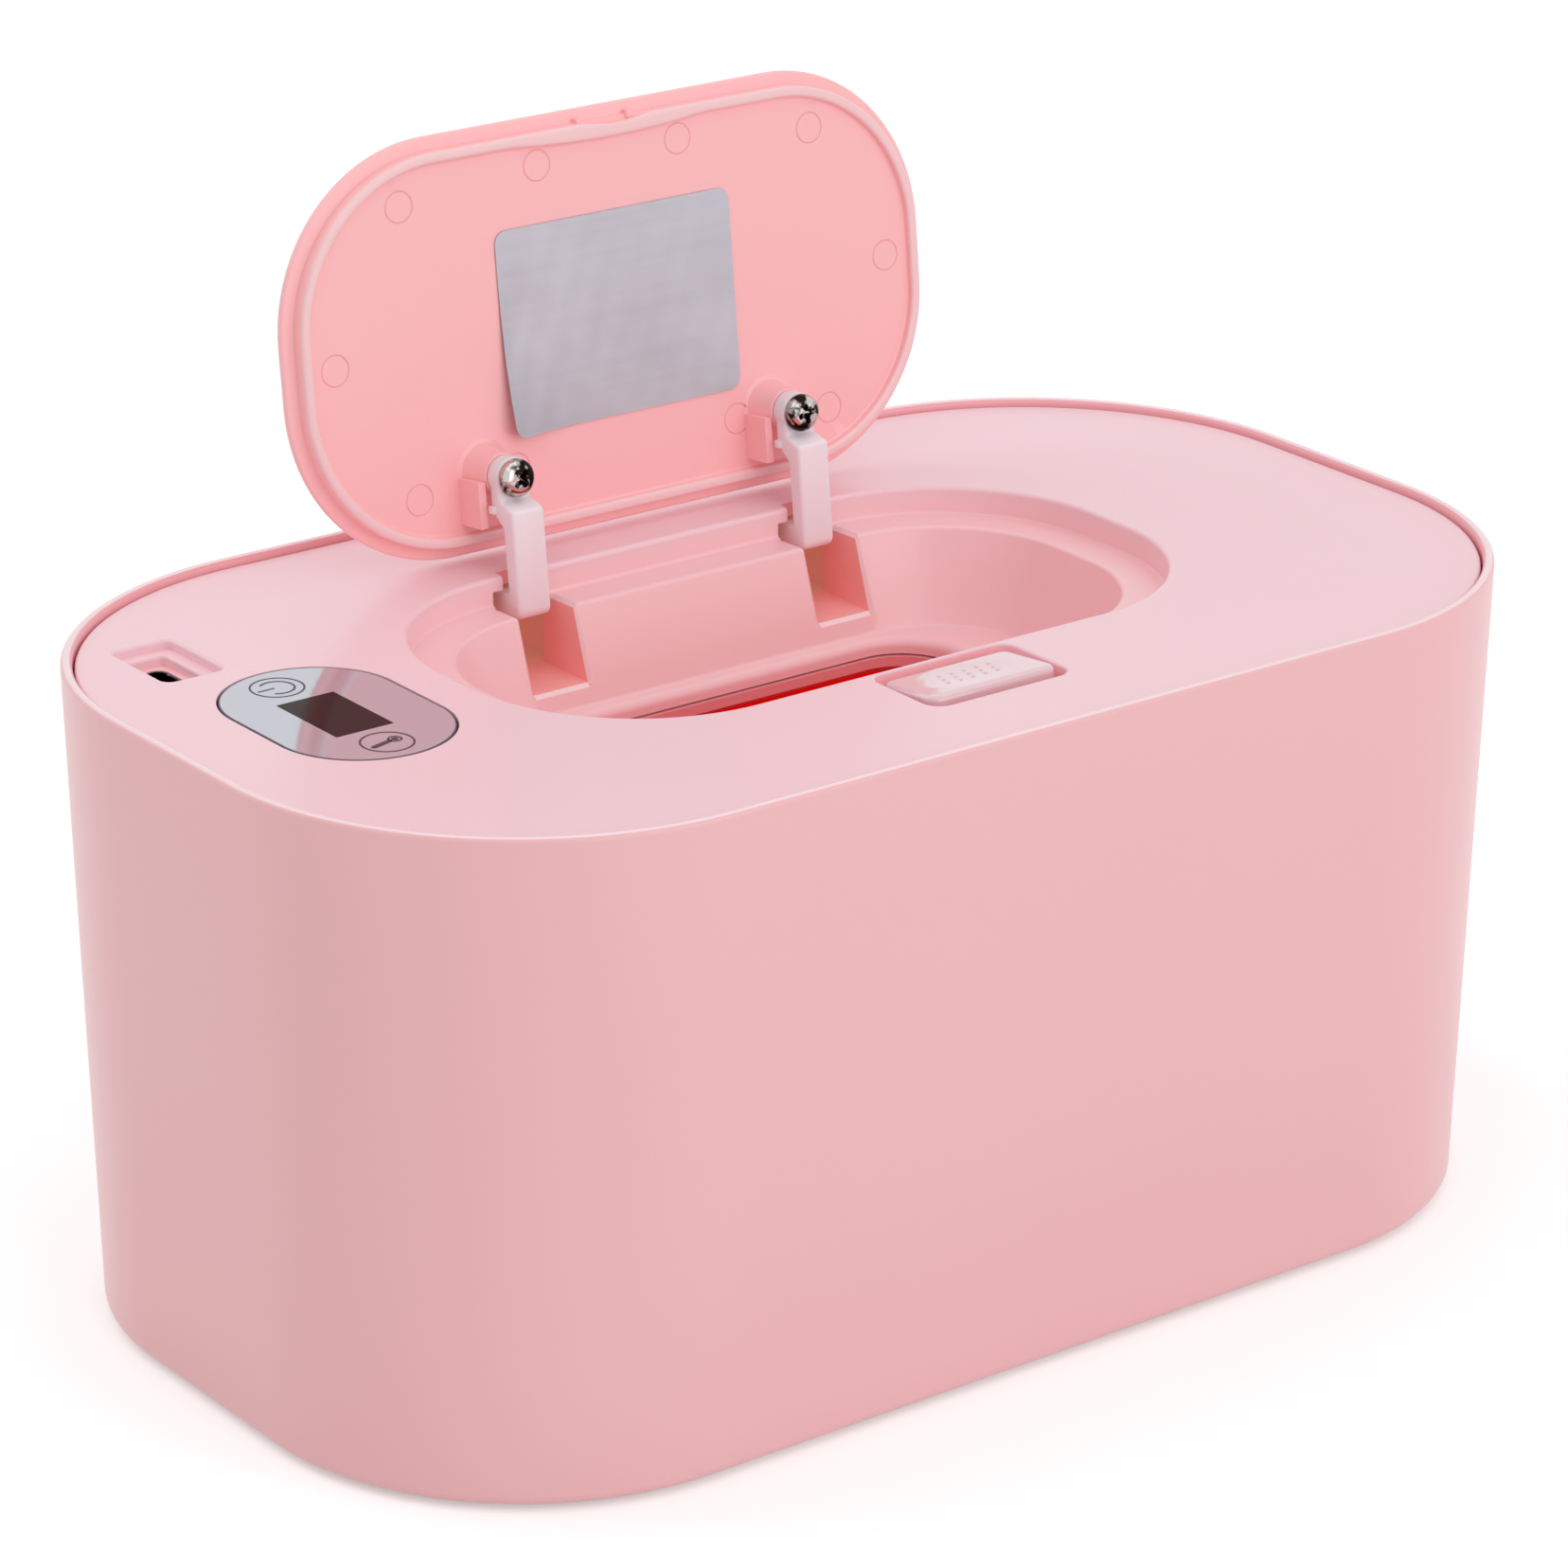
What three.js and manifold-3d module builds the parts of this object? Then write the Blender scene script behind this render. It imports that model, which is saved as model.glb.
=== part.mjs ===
// Baby wipe warmer: a drafted oval case with an insulated box for the wipes, a lift-off cover that carries
// the heater and electronics round a sunken basin, and a lid on two gooseneck arms with a rocking latch.
// Millimetres, +Z up, X along the case, the front at -Y. It stands on its feet at z = 0 with the lid open.

import * as THREE from "three";
import { mergeVertices } from "three/addons/utils/BufferGeometryUtils.js";
import Module from "manifold-3d";

const wasm = await Module();
wasm.setup();

// Clearances
const gap = 0.3; // between pieces that touch
const overrun = 1; // of a cut past the face it opens
const rootDepth = 0.5; // how far a moulded rib or boss reaches into the wall it grows from

// Case
const caseLength = 220;
const caseWidth = 131.7;
const caseHeight = 103;
const caseCorner = 50.2;
const endLean = 3.12; // each end wall leans in by this much at the base
const sideLean = 3.24; // each long wall leans in by this much at the base
const cornerLean = 4.6; // the corner radius loses this much at the base
const caseWall = 3;
const caseFloor = 2.6;
const caseEdge = 2;
const rimWall = 1.73;
const standRadius = 4;
const standHeight = 4;
const standPlaceShares = [-0.6, 0, 0.6];
const standTipShare = 0.85;

// Feet
const footRadius = 7;
const footProud = 0.8;
const footSink = 1.2;
const footBevel = 0.4;
const footFromEnd = 29;
const footFromSide = 27;

// Insulation, wipe box and seal
const foamThick = 4;
const boxWall = 1.8;
const boxEdge = 4;
const sealInset = 1.6;
const sealWidth = 4.2;
const sealThick = 2.4;

// Cover plate and skirt
const plateDrop = 1.18; // the plate lies this far below the rim
const plateThick = 2.2;
const plateEdge = 0.5;
const skirtGap = 0.5;
const skirtWall = 1.8;

// Basin and well
const basinFromLeft = 50.55;
const basinFromRight = 47.55;
const basinLength = caseLength - basinFromLeft - basinFromRight;
const basinX = (basinFromLeft - basinFromRight) / 2;
const basinY = 2.2;
const basinWidth = 66.7;
const basinCorner = 28.8;
const basinWall = 2;
const basinEdge = 0.5;
const ledgeDepth = 4.45;
const ledgeWidth = 7.15;
const ledgeRise = 0.2;
const ledgeEdge = 0.8;
const wellDepth = 19.12;
const wellLean = 5;
const wellFillet = 1.2;
const wellFloorThick = 2.6;
const slotFromEnd = 22.95; // of the basin's opening
const slotLength = basinLength - 2 * slotFromEnd;
const slotWidth = 38;
const slotCorner = 9.5;
const slotEdge = 0.5;

// Cover base, heater and sensors
const baseThick = 1.6;
const baseLip = 0.6;
const filmThick = 0.4;
const filmInset = 3;
const heatThick = 1.5;
const heatBand = 24; // from the edge of the wipe opening to the outer edge at the ends
const heatSideBand = 19; // the same along the long sides
const heatMargin = 4;
const heatCorner = 12;
const hookWidth = 6;
const hookWall = 1.4;
const hookReach = 1;
const hookFromSlotEnd = 8;
const fuseRadius = 1.5;
const fuseLength = 10;
const fuseFromHole = 13.5;
const fuseY = -3;
const thermistorRadius = 2;
const thermistorHeight = 2.6;
const thermistorY = 10;
const leadRadius = 0.7;
const leadHole = 1.3;
const leadFromSlot = 19.5;
const leadRise = 3.2; // straight up through the base
const leadSag = 5.2; // below the control board
const leadTurnOut = 2; // beyond the board's edge
const leadTurnIn = 9;
const leadEndIn = 13;
const leadTurnShares = [0.2, 0.8];
// The first place is from the middle of the basin, the second from the middle of the board
const heaterLeads = { heater_lead_front: [-18.2, -12.34], heater_lead_rear: [14.8, 10.66] };
const usbLeadStart = 2.4; // ahead of the middle of the socket
const usbLeadBend = 1;
const usbLeadSag = 6.7;
const usbLeadShift = 0.5;
const usbLeadEndX = -7.05; // from the middle of the board
const usbLeadEndY = 15.66;

// Cover screws and their bosses
const screwFromHeater = 15.8; // from the middle of the heater's corner round, out along its diagonal
const coverBossRadius = 3.4;
const screwRadius = 1.2;
const screwHeadRadius = 2.95;
const screwHeadHeight = 1.8;
const headWallShare = 0.35;
const headShoulderShares = [0.85, 0.8];
const headCrownShare = 0.5;
const screwTipShare = 0.6;
const screwLength = 7;
const screwBore = 1.5;
const crossLength = 3.4;
const crossWidth = 0.8;
const crossDepth = 0.9;

// Hinge: two arms on pins below the plate, behind the basin
const armSpanShare = 0.4446;
const armSpan = basinLength * armSpanShare;
const armWidth = 5.8;
const pivotBack = 5.3; // behind the rear edge of the basin
const pivotDrop = 4.92; // below the top of the plate
const pinRadius = 1.2;
const openAngle = 96.33;
const hingeSlotWidth = 10.1;
const hingeSlotDrop = 15.82;
const hingePocketWidth = 14;
const hingePocketWall = 1.1; // left of the basin's rear wall in front of the pocket
const hingePocketBack = 5.15;
const pocketWall = 1.6;
const notchDepth = 2.15;
const springWire = 0.3;
const springRadius = 2;
const springPitch = 1.05;
const springTurns = 2.667; // both legs end at the pocket's front wall, one level and one slanting down

// Lid
const lidGap = 0.85;
const lidThick = 1.32;
const lidEdge = 0.5;
const ribInset = 2.1;
const ribWall = 1.7;
const ribDepth = 2.7;
const panelDrop = 1.5;
const bulgeLength = 36;
const bulgeDepth = 1;
const catchLength = 12.6;
const catchX = 1.7;
const catchCut = 1;
const catchFloor = 0.9;
const catchTabSpan = 9.4;
const catchTabWidth = 0.9;
const catchTabReach = 0.6;
const catchTabDrop = 1.3;
const bossBack = 19.4; // behind the middle of the lid
const bossDrop = 6.9; // below the flange
const bossRootRadius = 4.1;
const bossTipRadius = 3.1;
const guideNear = 3.4;
const guideWall = 1.3;
const guideFront = 0.6;
const guideBack = 7.6;
const foilFromArm = 5.1;
const foilLength = armSpan - 2 * foilFromArm;
const foilWidth = 32;
const foilForward = 0.4;
const foilThick = 0.2;
const foilCorner = 2;

// Gooseneck arms, measured from the flange plane of the lid
const padRadius = 3.1;
const padThick = 2.5;
const padLength = 3.4;
const legDrop = 10;
const legThick = 3;
const legFront = 4.6;
const padRampStart = 5.1;
const padRampEnd = 7.6;
const neckBehind = 1.6;
const eyeRadius = 2.3;
const legCorner = 1.6;

// Touch display
const lensFromEnd = 29.05;
const lensFromSocket = 33.06;
const lensWidth = 26.8;
const lensLength = 40;
const lensThick = 1.2;
const windowX = -0.6; // from the middle of the lens
const windowY = -0.34;
const windowWidth = 9.7;
const windowLength = 15.8;
const keyHole = 4.4;
const powerKeyX = -1.35;
const powerKeyY = 13.76;
const heatKeyX = -0.65;
const heatKeyY = -13.94;
const keySpringRadius = 3.4;
const keySpringWire = 0.35;
const keySpringTurns = 4;
const boardDepth = 7.5; // of the board's upper face below the top of the plate
const boardThick = 1.6;
const boardWidth = 36;
const boardLength = 44;
const boardCorner = 5;
const usbBoardCorner = 2;
const boardBossX = 14.55;
const boardBossY = 18.36;
const boardBossRadius = 3;

// Charging socket
const usbFromEnd = 21;
const usbFromSide = 31.45;
const recessWidth = 10;
const recessLength = 16;
const recessDepth = 1.55;
const recessStep = 2;
const recessCorner = 1.5;
const socketDrop = 3.22;
const socketWidth = 3.3;
const socketLength = 9;
const socketWall = 0.35;
const socketDepth = 7.5;
const socketFloor = 1.6;
const tongueWidth = 0.7;
const tongueLength = 6.7;
const tongueHeight = 4.6;
const usbBoardWidth = 9;
const usbBoardLength = 18.6;
const pegSpan = 14;
const pegRadius = 1.8;
const pegTipRadius = 0.9;
const pegTipLength = 2.4;

// Release button and latch
const buttonX = 1.65;
const buttonAhead = 8.85; // of the front edge of the basin, to the middle of the opening
const buttonOpeningLength = 25.7;
const buttonOpeningWidth = 16;
const buttonOpeningCorner = 2.8;
const buttonSideGap = 1.1;
const buttonRearGap = 1.5;
const buttonFrontGap = 2;
const buttonCorner = 2;
const buttonThick = 4.1;
const buttonDrop = 0.5; // of the rear edge below the plate
const buttonTilt = 5.5;
const buttonEdge = 0.9;
const scoopDepth = 0.9;
const scoopLength = 17;
const scoopWidth = 11;
const buttonHollow = 2.2;
const buttonSkin = 1.6;
const buttonCore = 9;
const latchPocketDrop = 17.5;
const latchPinAhead = 4.85; // of the front edge of the basin
const latchPinDrop = 9.3;
const latchPinRadius = 1.2;
const latchHubRadius = 2.4;
const latchHubLength = 18;
const latchWebThick = 2.2;
const noseLength = 12;
const noseReach = 1.45;
const noseThick = 0.85;
const noseRise = 0.4;
const latchSpringAhead = 11.3;
const latchSpringRadius = 2.6;
const latchSpringWire = 0.35;
const latchSpringTurns = 6;
const latchSpringStub = 1.8;
const latchStubHeight = 3;

// Smoothness of curved faces
const caseSteps = 8;
const smallSteps = 3;
const roundSides = 16;
const pinSides = 12;
const wireSides = 5;
const coilSteps = 8;
const coilSamples = 32;
const leadSides = 8;

// Levels, measured from the bottom edge of the case
const plateTop = caseHeight - plateDrop;
const plateUnder = plateTop - plateThick;
const coverSeat = plateUnder - gap;
const ledgeZ = plateTop - ledgeDepth;
const wellFloor = plateTop - wellDepth;
const wellUnder = wellFloor - wellFloorThick;
const baseTop = wellUnder - gap;
const baseUnder = baseTop - baseThick;
const filmTop = baseUnder - gap;
const heatTop = filmTop - filmThick - gap;
const heatUnder = heatTop - heatThick;
const boxTop = baseUnder - gap - sealThick - gap;
const boxBottom = caseFloor + standHeight + gap;

// Insets from the outer face of the case
const plateInset = rimWall + gap;
const skirtInset = caseWall + skirtGap;
const foamInset = caseWall + gap;
const boxInset = foamInset + foamThick + gap;

// Plan positions
const basinRear = basinY + basinWidth / 2;
const basinFront = basinY - basinWidth / 2;
const lensX = lensFromEnd - caseLength / 2;
const usbX = usbFromEnd - caseLength / 2;
const usbY = caseWidth / 2 - usbFromSide;
const lensY = usbY - lensFromSocket;
const heatX = slotLength / 2 + heatBand;
const heatY = slotWidth / 2 + heatSideBand;
const screwStep = screwFromHeater * Math.SQRT1_2 - heatCorner;
const coverScrewX = heatX + screwStep; // from the middle of the basin
const coverScrewY = heatY + screwStep;
const heaterLeadX = basinX - slotLength / 2 - leadFromSlot;
const pivotY = basinRear + pivotBack;
const pivotZ = plateTop - pivotDrop;
const pocketFront = basinRear + hingePocketWall;
const armXs = [basinX - armSpan / 2, basinX + armSpan / 2];
const flangeZ = plateTop - lidThick;
const boardTop = plateTop - boardDepth;
const lensUnder = plateTop - lensThick;
const latchPinY = basinFront - latchPinAhead;
const latchPinZ = plateTop - latchPinDrop;
const buttonY = basinFront - buttonAhead;
const buttonRear = buttonY + buttonOpeningWidth / 2 - buttonRearGap;
const buttonFront = buttonY - buttonOpeningWidth / 2 + buttonFrontGap;
const latchPocketFloor = plateTop - latchPocketDrop;
const latchWallRear = basinFront - basinWall;

// Solids from outlines

const quarterTurn = Math.PI / 2;
const radians = (degrees) => (degrees * Math.PI) / 180;

// A rounded rectangle as points, counter-clockwise from above.
function roundedPoints(x, y, halfX, halfY, radius, steps) {
  const points = [];
  const corners = [[1, 1], [-1, 1], [-1, -1], [1, -1]];
  corners.forEach(([sideX, sideY], corner) => {
    for (let step = 0; step <= steps; step += 1) {
      const angle = quarterTurn * (corner + step / steps);
      points.push(new THREE.Vector2(
        x + sideX * (halfX - radius) + radius * Math.cos(angle),
        y + sideY * (halfY - radius) + radius * Math.sin(angle),
      ));
    }
  });
  return points;
}

// A closed skin through rings of equal point counts. It is capped at both ends, or joined end to end.
function loft(rings, endless = false) {
  const count = rings[0].points.length;
  const positions = [];
  const faces = [];
  rings.forEach(({ points, z }) => points.forEach((point) => positions.push(point.x, point.y, z)));
  const bands = endless ? rings.length : rings.length - 1;
  for (let band = 0; band < bands; band += 1) {
    const low = band * count;
    const high = ((band + 1) % rings.length) * count;
    for (let i = 0; i < count; i += 1) {
      const j = (i + 1) % count;
      faces.push(low + i, low + j, high + j, low + i, high + j, high + i);
    }
  }
  const last = (rings.length - 1) * count;
  for (let i = 1; i < count - 1 && !endless; i += 1) {
    faces.push(0, i + 1, i, last, last + i, last + i + 1);
  }
  const geometry = new THREE.BufferGeometry();
  geometry.setAttribute("position", new THREE.Float32BufferAttribute(positions, 3));
  geometry.setIndex(faces);
  return geometry;
}

// The case's own outline at a height, moved in from its outer face.
function caseRing(z, inset) {
  const lean = 1 - z / caseHeight;
  const halfX = caseLength / 2 - endLean * lean - inset;
  const halfY = caseWidth / 2 - sideLean * lean - inset;
  return { z, points: roundedPoints(0, 0, halfX, halfY, caseCorner - cornerLean * lean - inset, caseSteps) };
}

// The basin's outline at a height, moved in from the edge of its opening.
function basinRing(z, inset) {
  const halfX = basinLength / 2 - inset;
  const halfY = basinWidth / 2 - inset;
  return { z, points: roundedPoints(basinX, basinY, halfX, halfY, basinCorner - inset, caseSteps) };
}

function slotRing(z, inset) {
  const points = roundedPoints(
    basinX, basinY, slotLength / 2 - inset, slotWidth / 2 - inset, slotCorner - inset, caseSteps,
  );
  return { z, points };
}

// A round edge as pairs of inset and rise, from the flat face to the upright one.
function roundEdge(radius, steps) {
  return Array.from({ length: steps + 1 }, (_, step) => {
    const angle = (quarterTurn * step) / steps;
    return { inset: radius * (1 - Math.sin(angle)), rise: radius * (1 - Math.cos(angle)) };
  });
}

function slab(points, bottom, top) {
  return loft([{ z: bottom, points }, { z: top, points }]);
}

function roundedSlab(x, y, width, length, radius, bottom, top, steps = smallSteps) {
  return slab(roundedPoints(x, y, width / 2, length / 2, radius, steps), bottom, top);
}

function block(x0, x1, y0, y1, z0, z1) {
  const box = new THREE.BoxGeometry(x1 - x0, y1 - y0, z1 - z0);
  return box.translate((x0 + x1) / 2, (y0 + y1) / 2, (z0 + z1) / 2);
}

// An upright round post, which may taper.
function post(x, y, radius, bottom, top, topRadius = radius, sides = roundSides) {
  const cylinder = new THREE.CylinderGeometry(topRadius, radius, top - bottom, sides);
  return cylinder.rotateX(quarterTurn).translate(x, y, (bottom + top) / 2);
}

// A round bar along X.
function bar(y, z, radius, x0, x1, sides = pinSides) {
  const cylinder = new THREE.CylinderGeometry(radius, radius, x1 - x0, sides);
  return cylinder.rotateZ(quarterTurn).translate((x0 + x1) / 2, y, z);
}

// Turns a form so that its Z runs along X, its X along Y and its Y along Z.
function alongX(geometry) {
  const axes = new THREE.Matrix4().makeBasis(
    new THREE.Vector3(0, 1, 0), new THREE.Vector3(0, 0, 1), new THREE.Vector3(1, 0, 0),
  );
  return geometry.applyMatrix4(axes);
}

// An outline drawn in the plane of Y and Z, extruded along X.
function sideProfile(shape, x0, x1) {
  const settings = { depth: x1 - x0, bevelEnabled: false, curveSegments: smallSteps };
  const solid = new THREE.ExtrudeGeometry(shape, settings);
  return alongX(solid).translate(x0, 0, 0);
}

function disc(radius, sides) {
  return new THREE.Shape(Array.from({ length: sides }, (_, side) => {
    const angle = (side * 2 * Math.PI) / sides;
    return new THREE.Vector2(radius * Math.cos(angle), radius * Math.sin(angle));
  }));
}

function tube(curve, radius, sides, steps) {
  return new THREE.ExtrudeGeometry(disc(radius, sides), { steps, extrudePath: curve, bevelEnabled: false });
}

// Joins and cuts

function asSolid(geometry) {
  const bare = geometry.clone();
  bare.deleteAttribute("normal");
  bare.deleteAttribute("uv");
  const merged = mergeVertices(bare);
  return new wasm.Manifold(new wasm.Mesh({
    numProp: 3,
    vertProperties: new Float32Array(merged.attributes.position.array),
    triVerts: new Uint32Array(merged.index.array),
  }));
}

function asGeometry(solid) {
  const mesh = solid.getMesh();
  const geometry = new THREE.BufferGeometry();
  geometry.setAttribute("position", new THREE.BufferAttribute(mesh.vertProperties, 3));
  geometry.setIndex(new THREE.BufferAttribute(mesh.triVerts, 1));
  return geometry;
}

function join(...geometries) {
  return asGeometry(geometries.map(asSolid).reduce((whole, next) => whole.add(next)));
}

function cut(geometry, ...tools) {
  return asGeometry(tools.map(asSolid).reduce((whole, tool) => whole.subtract(tool), asSolid(geometry)));
}

// Materials

function material(color, roughness, metalness = 0) {
  return new THREE.MeshStandardMaterial({ color, roughness, metalness });
}

const pinkPlastic = material("#eec9d0", 0.42);
const coralPlastic = material("#d8523f", 0.5);
const milkyNylon = material("#ebd2d5", 0.45);
const darkPlastic = material("#2b2526", 0.5);
const whiteFoam = material("#eeeeea", 0.9);
const softRubber = material("#8d8788", 0.85);
const clearSeal = material("#dfe0e0", 0.6);
const boardGreen = material("#2f6b45", 0.6);
const lensFilm = material("#c9cad8", 0.2);
const springSteel = material("#b9bcc0", 0.3, 1);
const chrome = material("#d0d2d6", 0.15, 1);
const aluminium = material("#c3c5c9", 0.35, 1);
const foil = material("#b8b8c0", 0.3, 0.9);
const filmAmber = material("#b3702a", 0.5);
const leadSheath = material("#e6e2dc", 0.6);

// Pieces

const model = new THREE.Group();
const cover = new THREE.Group();
const lid = new THREE.Group();
const button = new THREE.Group();
model.add(cover);
cover.add(lid, button);
model.position.z = footProud;
lid.position.set(0, pivotY, pivotZ);
lid.rotation.x = -radians(openAngle);

function piece(name, geometry, look, group) {
  const bare = geometry.clone();
  bare.deleteAttribute("normal");
  bare.deleteAttribute("uv");
  const flat = bare.index ? bare.toNonIndexed() : bare;
  flat.computeVertexNormals();
  const mesh = new THREE.Mesh(flat, look);
  mesh.name = name;
  group.add(mesh);
}

// A lid piece is drawn shut, in the case's frame, then hung from the pivot.
function lidPiece(name, geometry, look) {
  piece(name, geometry.clone().translate(0, -pivotY, -pivotZ), look, lid);
}

function footPlaces() {
  const x = caseLength / 2 - endLean - footFromEnd;
  const y = caseWidth / 2 - sideLean - footFromSide;
  return {
    foot_front_left: [-x, -y],
    foot_front_right: [x, -y],
    foot_rear_left: [-x, y],
    foot_rear_right: [x, y],
  };
}

function makeCase() {
  const bottom = roundEdge(caseEdge, smallSteps).map(({ inset, rise }) => caseRing(rise, inset));
  const crest = Array.from({ length: 2 * smallSteps + 1 }, (_, step) => {
    const angle = (quarterTurn * step) / smallSteps;
    const radius = rimWall / 2;
    return caseRing(caseHeight - radius * (1 - Math.sin(angle)), radius * (1 - Math.cos(angle)));
  });
  const inside = [
    caseRing(coverSeat, rimWall),
    caseRing(coverSeat, caseWall),
    caseRing(caseFloor, caseWall),
  ];
  const stands = [-1, 1].flatMap((side) => standPlaceShares.map((share) => post(
    (share * caseLength) / 2, (side * caseWidth) / 4, standRadius,
    caseFloor - rootDepth, caseFloor + standHeight, standRadius * standTipShare,
  )));
  const footSeats = Object.values(footPlaces()).map(([x, y]) => (
    post(x, y, footRadius + gap, -overrun, footSink)
  ));
  const shell = cut(join(loft([...bottom, ...crest, ...inside]), ...stands), ...footSeats);
  piece("case_tub", shell, pinkPlastic, model);
}

function makeFeet() {
  const top = footSink - gap;
  const outline = [
    [0, -footProud],
    [footRadius - footBevel, -footProud],
    [footRadius, footBevel - footProud],
    [footRadius, top],
    [0, top],
  ].map(([radius, z]) => new THREE.Vector2(radius, z));
  Object.entries(footPlaces()).forEach(([name, [x, y]]) => {
    const foot = new THREE.LatheGeometry(outline, roundSides).rotateX(quarterTurn).translate(x, y, 0);
    piece(name, foot, softRubber, model);
  });
}

function makeWipeBox() {
  const flangeUnder = boxTop - boxWall;
  const innerEdge = boxEdge - boxWall;
  const outside = roundEdge(boxEdge, smallSteps).map(({ inset, rise }) => (
    caseRing(boxBottom + rise, boxInset + inset)
  ));
  const inside = roundEdge(innerEdge, smallSteps).reverse().map(({ inset, rise }) => (
    caseRing(boxBottom + boxWall + rise, boxInset + boxWall + inset)
  ));
  const flange = [
    caseRing(flangeUnder, boxInset),
    caseRing(flangeUnder, foamInset),
    caseRing(boxTop, foamInset),
    caseRing(boxTop, boxInset + boxWall),
  ];
  piece("wipe_box", loft([...outside, ...flange, ...inside]), coralPlastic, model);
  const foamTop = flangeUnder - gap;
  const foamBottom = caseFloor + gap;
  const sleeve = loft([
    caseRing(foamBottom, foamInset),
    caseRing(foamTop, foamInset),
    caseRing(foamTop, foamInset + foamThick),
    caseRing(foamBottom, foamInset + foamThick),
  ], true);
  piece("insulation_sleeve", sleeve, whiteFoam, model);
}

const coverScrewPlaces = {
  cover_screw_front_left: [basinX - coverScrewX, basinY - coverScrewY],
  cover_screw_front_right: [basinX + coverScrewX, basinY - coverScrewY],
  cover_screw_rear_left: [basinX - coverScrewX, basinY + coverScrewY],
  cover_screw_rear_right: [basinX + coverScrewX, basinY + coverScrewY],
};

const boardScrewPlaces = {
  board_screw_front: [lensX + boardBossX, lensY - boardBossY],
  board_screw_rear: [lensX - boardBossX, lensY + boardBossY],
};

const pegPlaces = [[usbX, usbY - pegSpan / 2], [usbX, usbY + pegSpan / 2]];

// The upright hollow of the basin, its ledge and the drafted well, for cutting.
function basinHollow() {
  const edge = roundEdge(basinEdge, smallSteps).map(({ inset, rise }) => basinRing(plateTop - rise, -inset));
  const foot = ledgeWidth + wellLean;
  const lean = wellLean / (ledgeZ + ledgeRise - wellFloor);
  return loft([
    basinRing(plateTop + overrun, -basinEdge),
    ...edge,
    basinRing(ledgeZ, 0),
    basinRing(ledgeZ + ledgeRise, ledgeWidth - ledgeEdge / 2),
    basinRing(ledgeZ + ledgeRise - ledgeEdge / 2, ledgeWidth),
    basinRing(wellFloor + wellFillet, foot - wellFillet * lean),
    basinRing(wellFloor, foot + wellFillet / 2),
  ].reverse());
}

function basinOutside() {
  return loft([
    basinRing(wellUnder, ledgeWidth + wellLean - basinWall),
    basinRing(ledgeZ - basinWall, ledgeWidth - basinWall),
    basinRing(ledgeZ - basinWall, -basinWall),
    basinRing(plateTop - plateThick / 2, -basinWall),
  ]);
}

function hingeHousing(x) {
  const floor = plateTop - hingeSlotDrop;
  const halfSlot = hingeSlotWidth / 2 + pocketWall;
  const halfPocket = hingePocketWidth / 2 + pocketWall;
  const rear = pivotY + hingePocketBack + pocketWall;
  const top = plateUnder + rootDepth;
  const slotFront = basinRear - ledgeWidth - wellLean;
  return [
    block(x - halfSlot, x + halfSlot, slotFront, pocketFront + pocketWall, floor - pocketWall, top),
    block(x - halfPocket, x + halfPocket, pocketFront - pocketWall, rear, floor - pocketWall, top),
  ];
}

function hingeCuts(x) {
  const floor = plateTop - hingeSlotDrop;
  const halfNotch = armWidth / 2 + gap;
  const halfPocket = hingePocketWidth / 2;
  const pinReach = halfPocket + pocketWall + overrun;
  return [
    block(x - hingeSlotWidth / 2, x + hingeSlotWidth / 2, basinY, pocketFront + overrun, floor, plateUnder),
    block(x - halfPocket, x + halfPocket, pocketFront, pivotY + hingePocketBack, floor, plateUnder),
    block(x - halfNotch, x + halfNotch, basinRear - overrun, basinRear + notchDepth,
      plateUnder - overrun, plateTop + overrun),
    bar(pivotY, pivotZ, pinRadius + gap, x - pinReach, x + pinReach),
  ];
}

function socketHousing() {
  const wall = pocketWall;
  const floorUnder = plateTop - socketDrop - socketFloor;
  const boardFace = plateTop - socketDrop - socketDepth;
  const body = roundedSlab(
    usbX, usbY, recessWidth - 2 * recessStep + 2 * wall, recessLength - 2 * recessStep + 2 * wall,
    recessCorner, floorUnder, plateUnder + rootDepth,
  );
  const pegs = pegPlaces.flatMap(([x, y]) => [
    post(x, y, pegRadius, boardFace, plateUnder + rootDepth, pegRadius, pinSides),
    post(x, y, pegTipRadius, boardFace - pegTipLength, boardFace + rootDepth, pegTipRadius, pinSides),
  ]);
  return [body, ...pegs];
}

function socketCuts() {
  const level = plateTop - recessDepth;
  const floor = plateTop - socketDrop;
  return [
    roundedSlab(usbX, usbY, recessWidth, recessLength, recessCorner, level, plateTop + overrun),
    roundedSlab(usbX, usbY, recessWidth - 2 * recessStep, recessLength - 2 * recessStep, recessCorner / 2,
      floor, plateTop),
    roundedSlab(usbX, usbY, socketWidth + 2 * gap, socketLength + 2 * gap, socketWidth / 2,
      floor - socketFloor - overrun, plateTop),
  ];
}

function displayCuts() {
  const seat = lensUnder - gap;
  const cutBottom = plateUnder - overrun;
  const end = lensWidth / 2 + gap;
  return [
    slab(roundedPoints(lensX, lensY, end, lensLength / 2 + gap, end, caseSteps), seat, plateTop + overrun),
    block(
      lensX + windowX - windowWidth / 2, lensX + windowX + windowWidth / 2,
      lensY + windowY - windowLength / 2, lensY + windowY + windowLength / 2, cutBottom, plateTop,
    ),
    post(lensX + powerKeyX, lensY + powerKeyY, keyHole, cutBottom, plateTop),
    post(lensX + heatKeyX, lensY + heatKeyY, keyHole, cutBottom, plateTop),
  ];
}

function latchHousing() {
  const halfX = buttonOpeningLength / 2 + pocketWall;
  const front = buttonY - buttonOpeningWidth / 2 - pocketWall;
  const bottom = latchPocketFloor - pocketWall;
  const rear = latchWallRear + pocketWall;
  return block(buttonX - halfX, buttonX + halfX, front, rear, bottom, plateUnder + rootDepth);
}

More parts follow.
